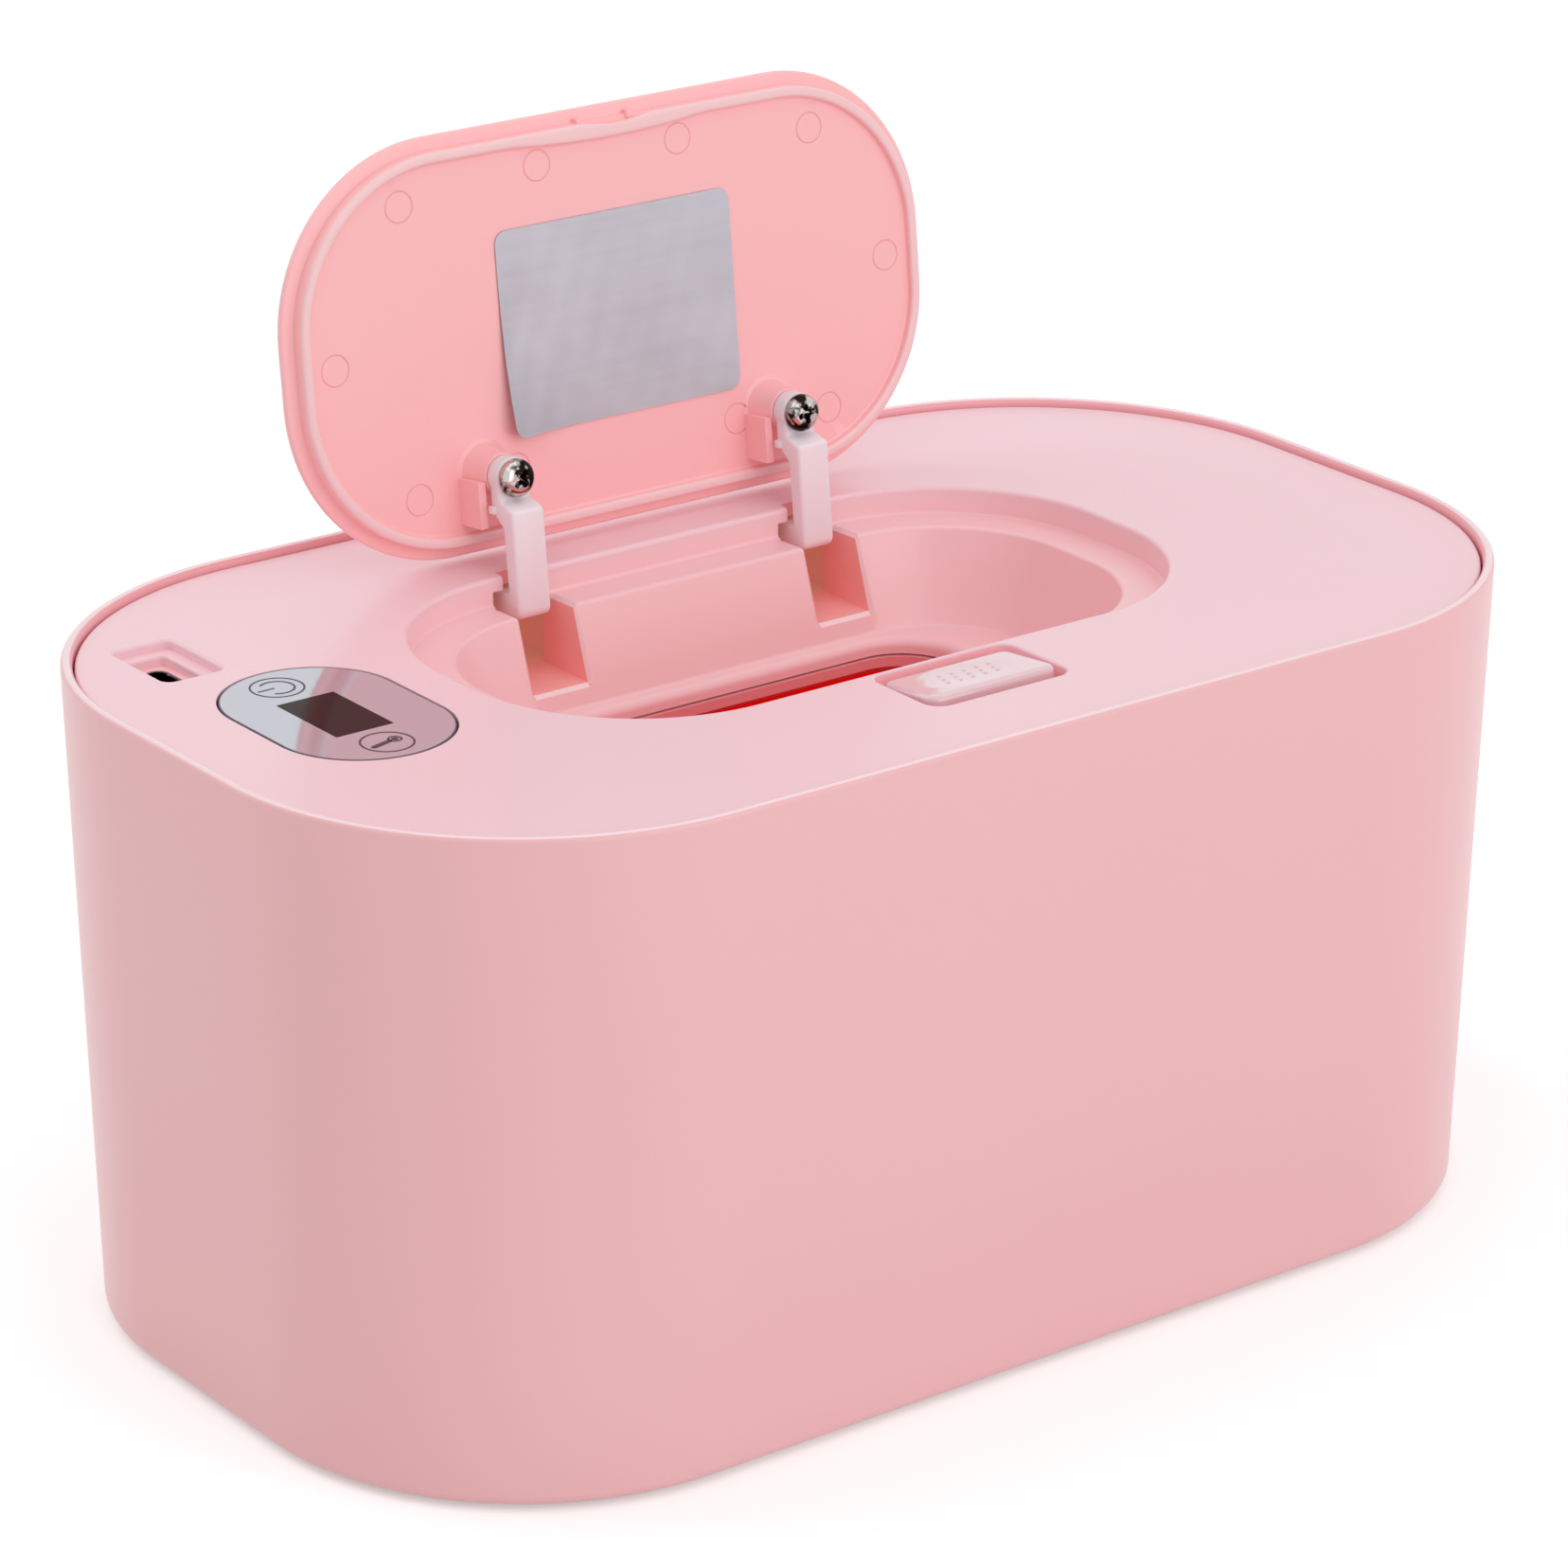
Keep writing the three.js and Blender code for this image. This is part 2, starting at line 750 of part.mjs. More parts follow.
function latchCuts() {
  const halfX = buttonOpeningLength / 2;
  const front = buttonY - buttonOpeningWidth / 2;
  const pinReach = halfX + pocketWall + overrun;
  const halfNose = noseLength / 2 + rootDepth;
  return [
    block(buttonX - halfX, buttonX + halfX, front, latchWallRear, latchPocketFloor, plateUnder),
    roundedSlab(buttonX, buttonY, buttonOpeningLength, buttonOpeningWidth, buttonOpeningCorner,
      plateUnder - rootDepth / 2, plateTop + overrun),
    bar(latchPinY, latchPinZ, latchPinRadius + gap, buttonX - pinReach, buttonX + pinReach),
    block(basinX - halfNose, basinX + halfNose, latchWallRear - overrun, basinFront + overrun,
      ledgeZ + noseRise - gap, plateUnder),
  ];
}

function makeTopCover() {
  const edge = roundEdge(plateEdge, 2).reverse().map(({ inset, rise }) => (
    caseRing(plateTop - rise, plateInset + inset)
  ));
  const body = loft([
    caseRing(wellUnder, skirtInset),
    caseRing(plateUnder, skirtInset),
    caseRing(plateUnder, plateInset),
    ...edge,
  ]);
  const hollow = loft([
    caseRing(wellUnder - overrun, skirtInset + skirtWall),
    caseRing(plateUnder, skirtInset + skirtWall),
  ]);
  const screwBosses = Object.values(coverScrewPlaces).map(([x, y]) => (
    post(x, y, coverBossRadius, wellUnder, plateUnder + rootDepth)
  ));
  const boardBosses = Object.values(boardScrewPlaces).map(([x, y]) => (
    post(x, y, boardBossRadius, boardTop + gap, plateUnder + rootDepth)
  ));
  const stub = post(buttonX, basinFront - latchSpringAhead, latchSpringStub,
    latchPocketFloor - rootDepth, latchPocketFloor + latchStubHeight, latchSpringStub, pinSides);
  const bores = [
    ...Object.values(coverScrewPlaces).map(([x, y]) => (
      post(x, y, screwBore, wellUnder - overrun, wellUnder + screwLength, screwBore, pinSides)
    )),
    ...Object.values(boardScrewPlaces).map(([x, y]) => (
      post(x, y, screwBore, boardTop, boardTop + gap + screwLength / 2, screwBore, pinSides)
    )),
  ];
  const slot = loft([
    slotRing(wellUnder - overrun, 0),
    slotRing(wellFloor - slotEdge, 0),
    slotRing(wellFloor - slotEdge / 3, -slotEdge / 3),
    slotRing(wellFloor, -slotEdge),
    slotRing(wellFloor + overrun, -slotEdge),
  ]);
  const moulded = join(
    cut(body, hollow),
    basinOutside(),
    ...armXs.flatMap(hingeHousing),
    ...socketHousing(),
    latchHousing(),
    ...screwBosses,
    ...boardBosses,
  );
  const opened = cut(
    moulded,
    basinHollow(),
    slot,
    ...armXs.flatMap(hingeCuts),
    ...socketCuts(),
    ...displayCuts(),
    ...latchCuts(),
    ...bores,
  );
  piece("top_cover", join(opened, stub), pinkPlastic, cover);
}

// The heater's outline round the wipe opening.
function heaterPlan(inset, bottom, top) {
  const outer = roundedPoints(basinX, basinY, heatX - inset, heatY - inset, heatCorner, caseSteps);
  const hole = heatMargin + inset;
  const inner = roundedPoints(
    basinX, basinY, slotLength / 2 + hole, slotWidth / 2 + hole, slotCorner + hole, caseSteps,
  );
  return loft([
    { z: bottom, points: outer },
    { z: top, points: outer },
    { z: top, points: inner },
    { z: bottom, points: inner },
  ], true);
}

const fuseX = basinX - slotLength / 2 - heatMargin - fuseFromHole;

function makeCoverBase() {
  const hooks = [-1, 1].flatMap((sideX) => [-1, 1].flatMap((sideY) => {
    const x = basinX + sideX * (slotLength / 2 - hookFromSlotEnd);
    const face = basinY + sideY * (heatY + gap);
    const back = face + sideY * hookWall;
    const tip = face - sideY * (hookReach + gap);
    const low = heatUnder - gap - hookWall;
    const spread = (a, b, z0, z1) => (
      block(x - hookWidth / 2, x + hookWidth / 2, Math.min(a, b), Math.max(a, b), z0, z1)
    );
    return [spread(face, back, low, baseUnder + rootDepth), spread(tip, back, low, low + hookWall)];
  }));
  const opening = loft([slotRing(baseUnder - overrun, baseLip), slotRing(baseTop + overrun, baseLip)]);
  const screwHoles = Object.values(coverScrewPlaces).map(([x, y]) => (
    post(x, y, screwBore, baseUnder - overrun, baseTop + overrun, screwBore, pinSides)
  ));
  const leadHoles = Object.values(heaterLeads).map(([fromBasin]) => (
    post(heaterLeadX, basinY + fromBasin, leadHole, baseUnder - overrun, baseTop + overrun,
      leadHole, pinSides)
  ));
  const sensorHoles = [
    post(fuseX, thermistorY, thermistorRadius + gap, baseUnder - overrun, baseTop + overrun,
      thermistorRadius + gap, pinSides),
    block(
      fuseX - fuseRadius - gap, fuseX + fuseRadius + gap,
      fuseY - fuseLength / 2 - gap, fuseY + fuseLength / 2 + gap,
      baseUnder - overrun, baseTop + overrun,
    ),
  ];
  const floor = cut(
    loft([caseRing(baseUnder, skirtInset), caseRing(baseTop, skirtInset)]),
    opening, ...screwHoles, ...leadHoles, ...sensorHoles,
  );
  piece("cover_base", join(floor, ...hooks), pinkPlastic, cover);
  const seal = loft([
    caseRing(boxTop + gap, foamInset + sealInset),
    caseRing(baseUnder - gap, foamInset + sealInset),
    caseRing(baseUnder - gap, foamInset + sealInset + sealWidth),
    caseRing(boxTop + gap, foamInset + sealInset + sealWidth),
  ], true);
  piece("chamber_seal", seal, clearSeal, cover);
}

function makeHeater() {
  piece("heat_plate", heaterPlan(0, heatUnder, heatTop), aluminium, cover);
  piece("heater_film", heaterPlan(filmInset, filmTop - filmThick, filmTop), filmAmber, cover);
  const sensorFoot = filmTop + gap;
  const fuse = new THREE.CylinderGeometry(fuseRadius, fuseRadius, fuseLength, pinSides);
  piece("thermal_fuse", fuse.translate(fuseX, fuseY, sensorFoot + fuseRadius), aluminium, cover);
  const bead = post(fuseX, thermistorY, thermistorRadius, sensorFoot, sensorFoot + thermistorHeight,
    thermistorRadius, pinSides);
  piece("thermistor", bead, darkPlastic, cover);
}

// From the heater, up through the base, under the control board's edge and up to its solder side.
function heaterLeadPath([fromBasin, fromBoard]) {
  const edge = lensX + boardWidth / 2;
  const under = boardTop - boardThick;
  const start = basinY + fromBasin;
  const end = lensY + fromBoard;
  const [outShare, inShare] = leadTurnShares;
  return [
    [heaterLeadX, start, baseUnder],
    [heaterLeadX, start, baseTop + leadRise],
    [edge + leadTurnOut, start + outShare * (end - start), under - leadSag],
    [edge - leadTurnIn, start + inShare * (end - start), under - leadSag],
    [edge - leadEndIn, end, under - gap],
  ];
}

function usbLeadPath() {
  const under = boardTop - boardThick;
  const start = usbY - usbLeadStart;
  const end = lensY + usbLeadEndY;
  const endX = lensX + usbLeadEndX;
  return [
    [usbX, start, plateTop - socketDrop - socketDepth - gap - boardThick - gap],
    [usbX, start - usbLeadBend, under - usbLeadSag],
    [endX - usbLeadShift, end + 2 * usbLeadBend, under - usbLeadSag],
    [endX, end, under - gap],
  ];
}

function makeLeads() {
  const paths = { usb_lead: usbLeadPath() };
  Object.entries(heaterLeads).forEach(([name, ends]) => {
    paths[name] = heaterLeadPath(ends);
  });
  Object.entries(paths).forEach(([name, points]) => {
    const places = points.map((point) => new THREE.Vector3(...point));
    const curve = new THREE.CatmullRomCurve3(places, false, "centripetal");
    const steps = Math.round(curve.getLength() / (4 * leadRadius));
    piece(name, tube(curve, leadRadius, leadSides, steps), leadSheath, cover);
  });
}

// A cross-head screw with its head at the origin, its shank along -Z and its recess facing +Z.
function screw(length) {
  const [shoulderShare, shoulderRiseShare] = headShoulderShares;
  const shank = [
    [0, -length],
    [screwRadius * screwTipShare, -length],
    [screwRadius, -length + screwRadius],
    [screwRadius, 0],
  ];
  const dome = [
    [screwHeadRadius, 0],
    [screwHeadRadius, screwHeadHeight * headWallShare],
    [screwHeadRadius * shoulderShare, screwHeadHeight * shoulderRiseShare],
    [screwHeadRadius * headCrownShare, screwHeadHeight],
    [0, screwHeadHeight],
  ];
  const body = new THREE.LatheGeometry(
    [...shank, ...dome].map(([radius, z]) => new THREE.Vector2(radius, z)), pinSides,
  ).rotateX(quarterTurn);
  const floor = screwHeadHeight - crossDepth;
  const top = screwHeadHeight + overrun;
  const long = crossLength / 2;
  const thin = crossWidth / 2;
  return cut(body, block(-long, long, -thin, thin, floor, top), block(-thin, thin, -long, long, floor, top));
}

function makeScrews() {
  Object.entries(coverScrewPlaces).forEach(([name, [x, y]]) => {
    const fastener = screw(screwLength).rotateX(Math.PI).translate(x, y, baseUnder - gap);
    piece(name, fastener, chrome, cover);
  });
  Object.entries(boardScrewPlaces).forEach(([name, [x, y]]) => {
    const length = screwLength / 2 + boardThick;
    const fastener = screw(length).rotateX(Math.PI).translate(x, y, boardTop - boardThick - gap);
    piece(name, fastener, chrome, cover);
  });
}

// A coil about +Z from the origin, with a straight end of the given length along each end's tangent.
class Coil extends THREE.Curve {
  constructor(radius, pitch, turns, leg) {
    super();
    Object.assign(this, { radius, pitch, turns, leg });
    this.coilLength = turns * Math.hypot(2 * Math.PI * radius, pitch);
    this.total = this.coilLength + 2 * leg;
  }

  onCoil(turn) {
    const angle = 2 * Math.PI * turn;
    return new THREE.Vector3(this.radius * Math.cos(angle), this.radius * Math.sin(angle), this.pitch * turn);
  }

  along(turn) {
    const angle = 2 * Math.PI * turn;
    return new THREE.Vector3(-Math.sin(angle), Math.cos(angle), 0);
  }

  getPoint(share) {
    const run = share * this.total;
    if (run < this.leg) {
      return this.onCoil(0).addScaledVector(this.along(0), run - this.leg);
    }
    if (run > this.leg + this.coilLength) {
      const past = run - this.leg - this.coilLength;
      return this.onCoil(this.turns).addScaledVector(this.along(this.turns), past);
    }
    return this.onCoil(((run - this.leg) / this.coilLength) * this.turns);
  }
}

// The least gap between neighbouring turns, measured on points of the coil one turn apart.
function turnGap(coil, wire) {
  let least = Infinity;
  const samples = coilSamples * Math.ceil(coil.turns);
  for (let i = 0; i <= samples; i += 1) {
    for (let j = i + samples / (2 * coil.turns); j <= samples; j += 1) {
      const a = coil.onCoil((i / samples) * coil.turns);
      const b = coil.onCoil((j / samples) * coil.turns);
      least = Math.min(least, a.distanceTo(b) - 2 * wire);
    }
  }
  return least;
}

function coilTube(name, radius, pitch, turns, leg, wire) {
  const coil = new Coil(radius, pitch, turns, leg);
  const steps = Math.round((coilSteps * turns * coil.total) / coil.coilLength);
  console.log(`${name}: ${turnGap(coil, wire).toFixed(2)} mm between turns`);
  return tube(coil, wire, wireSides, steps);
}

function makeHinge() {
  const springLeg = pivotY - gap - pocketFront;
  const names = ["left", "right"];
  armXs.forEach((x, i) => {
    const reach = hingePocketWidth / 2 + pocketWall;
    piece(`hinge_pin_${names[i]}`, bar(pivotY, pivotZ, pinRadius, x - reach, x + reach), springSteel, cover);
    const name = `hinge_spring_${names[i]}`;
    const coil = coilTube(name, springRadius, springPitch, springTurns, springLeg, springWire);
    const start = x + armWidth / 2 + gap + springWire;
    piece(name, alongX(coil.rotateZ(-quarterTurn)).translate(start, pivotY, pivotZ), springSteel, cover);
  });
}

// Lid, drawn shut
const lidHalfX = basinLength / 2 - lidGap;
const lidHalfY = basinWidth / 2 - lidGap;

function lidRing(z, inset) {
  const radius = basinCorner - lidGap - inset;
  return { z, points: roundedPoints(basinX, basinY, lidHalfX - inset, lidHalfY - inset, radius, caseSteps) };
}

// The front of the sealing rib bows in behind the catch.
function catchBulge() {
  const rear = basinY - lidHalfY + ribInset + ribWall;
  const half = bulgeLength / 2;
  const shape = new THREE.Shape();
  shape.moveTo(basinX - half, rear - rootDepth);
  shape.lineTo(basinX + half, rear - rootDepth);
  shape.lineTo(basinX + half, rear);
  shape.quadraticCurveTo(basinX, rear + 2 * bulgeDepth, basinX - half, rear);
  return slab(shape.getPoints(smallSteps * 4).slice(0, -1), flangeZ - ribDepth, flangeZ);
}

function catchPocket() {
  const front = basinY - lidHalfY + ribInset - rootDepth / 2;
  const half = catchLength / 2;
  const x = basinX + catchX;
  const shape = new THREE.Shape();
  shape.moveTo(x - half, front);
  shape.lineTo(x + half, front);
  shape.quadraticCurveTo(x, front + 2 * (catchCut + rootDepth / 2), x - half, front);
  const outline = shape.getPoints(smallSteps * 4).slice(0, -1);
  return slab(outline, flangeZ - ribDepth - overrun, flangeZ - catchFloor);
}

function makeLid() {
  const lower = roundEdge(lidEdge, 2).map(({ inset, rise }) => lidRing(flangeZ + rise, inset));
  const upper = roundEdge(lidEdge, 2).reverse().map(({ inset, rise }) => lidRing(plateTop - rise, inset));
  const rib = loft([
    lidRing(flangeZ - ribDepth, ribInset + rootDepth / 2),
    lidRing(flangeZ - ribDepth + rootDepth / 2, ribInset),
    lidRing(flangeZ + rootDepth, ribInset),
  ]);
  const hollow = cut(loft([
    lidRing(flangeZ - ribDepth - overrun, ribInset + ribWall),
    lidRing(flangeZ - panelDrop, ribInset + ribWall),
  ]), catchBulge());
  const bosses = armXs.map((x) => post(
    x, basinY + bossBack, bossTipRadius, flangeZ - bossDrop, flangeZ - panelDrop + rootDepth, bossRootRadius,
  ));
  const bores = armXs.map((x) => post(
    x, basinY + bossBack, screwBore, flangeZ - bossDrop - overrun, flangeZ - panelDrop, screwBore, pinSides,
  ));
  const guides = armXs.flatMap((x) => [-1, 1].map((side) => {
    const near = x + side * guideNear;
    const far = x + side * (guideNear + guideWall);
    const y = basinY + bossBack;
    return block(
      Math.min(near, far), Math.max(near, far), y + guideFront, y + guideBack,
      flangeZ - bossDrop, flangeZ - panelDrop + rootDepth,
    );
  }));
  const tabRoot = basinY - lidHalfY + ribInset + rootDepth;
  const tabs = [-1, 1].map((side) => {
    const x = basinX + (side * catchTabSpan) / 2;
    return block(
      x - catchTabWidth / 2, x + catchTabWidth / 2, tabRoot - rootDepth - catchTabReach, tabRoot,
      flangeZ - catchTabDrop, flangeZ + rootDepth,
    );
  });
  const foilSeat = roundedSlab(
    basinX, basinY - foilForward, foilLength + 2 * gap, foilWidth + 2 * gap, foilCorner,
    flangeZ - panelDrop - overrun, flangeZ - panelDrop + gap,
  );
  const shell = cut(join(loft([...lower, ...upper]), cut(rib, hollow)), catchPocket(), foilSeat);
  lidPiece("lid_panel", cut(join(shell, ...bosses, ...guides, ...tabs), ...bores), pinkPlastic);
  const sheet = roundedSlab(
    basinX, basinY - foilForward, foilLength, foilWidth, foilCorner,
    flangeZ - panelDrop - foilThick, flangeZ - panelDrop,
  );
  lidPiece("foil_sheet", sheet, foil);
}

function armShape() {
  const padY = basinY + bossBack;
  const at = (back, drop) => [padY + back, flangeZ - drop];
  const padDrop = bossDrop + gap;
  const neckFront = pivotY - neckBehind - padY;
  const rear = pivotY + eyeRadius - padY;
  const pivotDropFromFlange = flangeZ - pivotZ;
  const legUnder = legDrop + legThick;
  const shape = new THREE.Shape();
  shape.moveTo(...at(0, padDrop));
  shape.lineTo(...at(padRampStart, padDrop));
  shape.lineTo(...at(padRampEnd, legDrop));
  shape.lineTo(...at(neckFront, legDrop));
  shape.lineTo(...at(neckFront, pivotDropFromFlange));
  shape.lineTo(...at(rear, pivotDropFromFlange));
  shape.lineTo(...at(rear, legUnder - legCorner));
  shape.quadraticCurveTo(...at(rear, legUnder), ...at(rear - legCorner, legUnder));
  shape.lineTo(...at(legFront, legUnder));
  shape.lineTo(...at(padLength, padDrop + padThick));
  shape.lineTo(...at(0, padDrop + padThick));
  return shape;
}

function makeArms() {
  const padTop = flangeZ - bossDrop - gap;
  const padUnder = padTop - padThick;
  const y = basinY + bossBack;
  ["left", "right"].forEach((name, i) => {
    const x = armXs[i];
    const half = armWidth / 2;
    const arm = join(
      sideProfile(armShape(), x - half, x + half),
      post(x, y, padRadius, padUnder, padTop),
      bar(pivotY, pivotZ, eyeRadius, x - half, x + half, roundSides),
    );
    const bored = cut(
      arm,
      post(x, y, screwBore, padUnder - overrun, padTop + overrun, screwBore, pinSides),
      bar(pivotY, pivotZ, pinRadius + gap, x - half - overrun, x + half + overrun),
    );
    lidPiece(`hinge_arm_${name}`, bored, milkyNylon);
    const fastener = screw(screwLength).rotateX(Math.PI).translate(x, y, padUnder - gap);
    lidPiece(`arm_screw_${name}`, fastener, chrome);
  });
}

function makeDisplay() {
  const half = lensWidth / 2;
  const lens = slab(roundedPoints(lensX, lensY, half, lensLength / 2, half, caseSteps), lensUnder, plateTop);
  piece("touch_lens", lens, lensFilm, cover);
  const screwHoles = Object.values(boardScrewPlaces).map(([x, y]) => (
    post(x, y, screwBore, boardTop - boardThick - overrun, boardTop + overrun, screwBore, pinSides)
  ));
  const boardUnder = boardTop - boardThick;
  const board = roundedSlab(lensX, lensY, boardWidth, boardLength, boardCorner, boardUnder, boardTop);
  piece("control_board", cut(board, ...screwHoles), boardGreen, cover);
  const windowMidX = lensX + windowX;
  const windowMidY = lensY + windowY;
  const digits = block(
    windowMidX - windowWidth / 2 + gap, windowMidX + windowWidth / 2 - gap,
    windowMidY - windowLength / 2 + gap, windowMidY + windowLength / 2 - gap,
    boardTop + gap, lensUnder - gap,
  );
  piece("display_block", digits, darkPlastic, cover);
  const keys = {
    touch_spring_power: [lensX + powerKeyX, lensY + powerKeyY],
    touch_spring_heat: [lensX + heatKeyX, lensY + heatKeyY],
  };
  Object.entries(keys).forEach(([name, [x, y]]) => {
    const height = lensUnder - boardTop - 2 * gap - 2 * keySpringWire;
    const pitch = height / keySpringTurns;
    const coil = coilTube(name, keySpringRadius, pitch, keySpringTurns, 0, keySpringWire);
    piece(name, coil.translate(x, y, boardTop + gap + keySpringWire), springSteel, cover);
  });
}

function makeSocket() {
  const top = plateTop - socketDrop;
  const bottom = top - socketDepth + gap;
  const floor = bottom + socketWall;
  const inner = socketWidth - 2 * socketWall;
  const shell = cut(
    roundedSlab(usbX, usbY, socketWidth, socketLength, socketWidth / 2, bottom, top),
    roundedSlab(usbX, usbY, inner, socketLength - 2 * socketWall, inner / 2, floor, top + overrun),
  );
  piece("usb_socket", shell, chrome, cover);
  const tongue = block(
    usbX - tongueWidth / 2, usbX + tongueWidth / 2, usbY - tongueLength / 2, usbY + tongueLength / 2,
    floor + gap, floor + gap + tongueHeight,
  );
  piece("usb_tongue", tongue, darkPlastic, cover);
  const boardFace = top - socketDepth - gap;
  const board = cut(
    roundedSlab(usbX, usbY, usbBoardWidth, usbBoardLength, usbBoardCorner, boardFace - boardThick, boardFace),
    ...pegPlaces.map(([x, y]) => post(x, y, pegTipRadius + gap, boardFace - boardThick - overrun,
      boardFace + overrun, pegTipRadius + gap, pinSides)),
  );
  piece("usb_board", board, boardGreen, cover);
}

function makeButton() {
  const length = buttonOpeningLength - 2 * buttonSideGap;
  const width = buttonRear - buttonFront;
  const y = (buttonRear + buttonFront) / 2;
  const top = plateTop - buttonDrop;
  const bottom = top - buttonThick;
  const plan = (inset, z) => ({
    z,
    points: roundedPoints(buttonX, y, length / 2 - inset, width / 2 - inset, buttonCorner, smallSteps),
  });
  const edge = roundEdge(buttonEdge, 2).reverse().map(({ inset, rise }) => plan(inset, top - rise));
  const scoopRadius = (scoopWidth ** 2 / 4 + scoopDepth ** 2) / (2 * scoopDepth);
  const scoop = new THREE.SphereGeometry(scoopRadius, roundSides * 2, roundSides)
    .rotateX(quarterTurn)
    .scale(scoopLength / scoopWidth, 1, 1)
    .translate(buttonX - buttonEdge, y, top + scoopRadius - scoopDepth);
  const hollows = [-1, 1].map((side) => {
    const near = buttonX + (side * buttonCore) / 2;
    const far = buttonX + side * (length / 2 - buttonSkin);
    const front = buttonFront + buttonSkin;
    const rear = buttonRear - latchWebThick;
    const roof = bottom + buttonHollow;
    return block(Math.min(near, far), Math.max(near, far), front, rear, bottom - overrun, roof);
  });
  const cap = cut(loft([plan(0, bottom), ...edge]), scoop, ...hollows)
    .translate(0, -buttonRear, -top)
    .rotateX(-radians(buttonTilt))
    .translate(0, buttonRear, top);
  const webHalf = latchHubLength / 2;
  const noseBottom = ledgeZ + noseRise;
  const web = block(buttonX - webHalf, buttonX + webHalf, buttonRear - latchWebThick, buttonRear,
    latchPinZ, bottom + rootDepth);
  const hub = bar(latchPinY, latchPinZ, latchHubRadius, buttonX - webHalf, buttonX + webHalf, roundSides);
  const nose = block(basinX - noseLength / 2, basinX + noseLength / 2, buttonRear - latchWebThick / 2,
    basinFront + noseReach, noseBottom, noseBottom + noseThick);
  const bore = bar(latchPinY, latchPinZ, latchPinRadius + gap,
    buttonX - webHalf - overrun, buttonX + webHalf + overrun);
  piece("release_button", cut(join(cap, web, hub, nose), bore), pinkPlastic, button);

  const pinHalf = buttonOpeningLength / 2 + pocketWall;
  const pin = bar(latchPinY, latchPinZ, latchPinRadius, buttonX - pinHalf, buttonX + pinHalf);
  piece("latch_pin", pin, springSteel, cover);
  const springFoot = latchPocketFloor + gap + latchSpringWire;
  const springTop = bottom - gap - latchSpringWire;
  const pitch = (springTop - springFoot) / latchSpringTurns;
  const coil = coilTube("latch_spring", latchSpringRadius, pitch, latchSpringTurns, 0, latchSpringWire);
  coil.translate(buttonX, basinFront - latchSpringAhead, springFoot);
  piece("latch_spring", coil, springSteel, cover);
}

makeCase();
makeFeet();
makeWipeBox();
makeTopCover();
makeCoverBase();
makeHeater();
makeLeads();
makeScrews();
makeHinge();
makeLid();
makeArms();
makeDisplay();
makeSocket();
makeButton();

export default model;
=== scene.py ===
import math

import bmesh
import bpy
from mathutils import Matrix, Vector


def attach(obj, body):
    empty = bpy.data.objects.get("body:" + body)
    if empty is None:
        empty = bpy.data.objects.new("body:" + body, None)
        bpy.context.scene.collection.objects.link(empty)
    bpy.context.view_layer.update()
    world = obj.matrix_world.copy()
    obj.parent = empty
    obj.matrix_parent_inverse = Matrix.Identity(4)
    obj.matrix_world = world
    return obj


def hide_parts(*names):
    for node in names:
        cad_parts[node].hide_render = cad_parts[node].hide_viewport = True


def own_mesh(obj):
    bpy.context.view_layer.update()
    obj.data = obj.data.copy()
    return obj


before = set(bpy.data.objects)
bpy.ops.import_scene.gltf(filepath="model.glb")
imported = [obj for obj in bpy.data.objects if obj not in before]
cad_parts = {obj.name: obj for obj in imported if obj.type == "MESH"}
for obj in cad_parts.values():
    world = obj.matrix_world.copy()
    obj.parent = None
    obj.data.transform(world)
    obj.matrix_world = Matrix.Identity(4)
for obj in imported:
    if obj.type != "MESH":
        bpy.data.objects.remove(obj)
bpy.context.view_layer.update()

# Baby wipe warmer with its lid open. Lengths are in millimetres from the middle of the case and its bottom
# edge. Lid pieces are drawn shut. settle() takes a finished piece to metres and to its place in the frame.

mm = 0.001
quarter = math.pi / 2
footLift = 0.8
plateTop = 101.82
plateUnder = 99.62
wellUnder = 80.1
hinge = {"y": 40.85, "z": 96.9, "open": 96.33}
basin = {"x": 1.5, "y": 2.2, "halfX": 60.95, "halfY": 33.35, "corner": 28.8}
armXs = (-25.6, 28.6)
padY = basin["y"] + 19.4
boreRadius = 1.5
rootTop = plateUnder + 0.5


# Modelling helpers

def clearSelection():
    if bpy.context.object and bpy.context.object.mode != "OBJECT":
        bpy.ops.object.mode_set(mode="OBJECT")
    bpy.ops.object.select_all(action="DESELECT")


def pick(piece):
    clearSelection()
    piece.select_set(True)
    bpy.context.view_layer.objects.active = piece


# Points of a rounded rectangle, with extra points along its straight sides
def roundedLoop(x, y, halfX, halfY, radius, steps, along=1):
    corners = [(1, 1), (-1, 1), (-1, -1), (1, -1)]
    points = []
    for corner, (sideX, sideY) in enumerate(corners):
        for step in range(steps + 1):
            a = quarter * (corner + step / steps)
            points.append((x + sideX * (halfX - radius) + radius * math.cos(a),
                           y + sideY * (halfY - radius) + radius * math.sin(a)))
        nextX, nextY = corners[(corner + 1) % 4]
        a = quarter * (corner + 1)
        end = (x + nextX * (halfX - radius) + radius * math.cos(a),
               y + nextY * (halfY - radius) + radius * math.sin(a))
        last = points[-1]
        for step in range(1, along):
            share = step / along
            points.append((last[0] + share * (end[0] - last[0]), last[1] + share * (end[1] - last[1])))
    return points


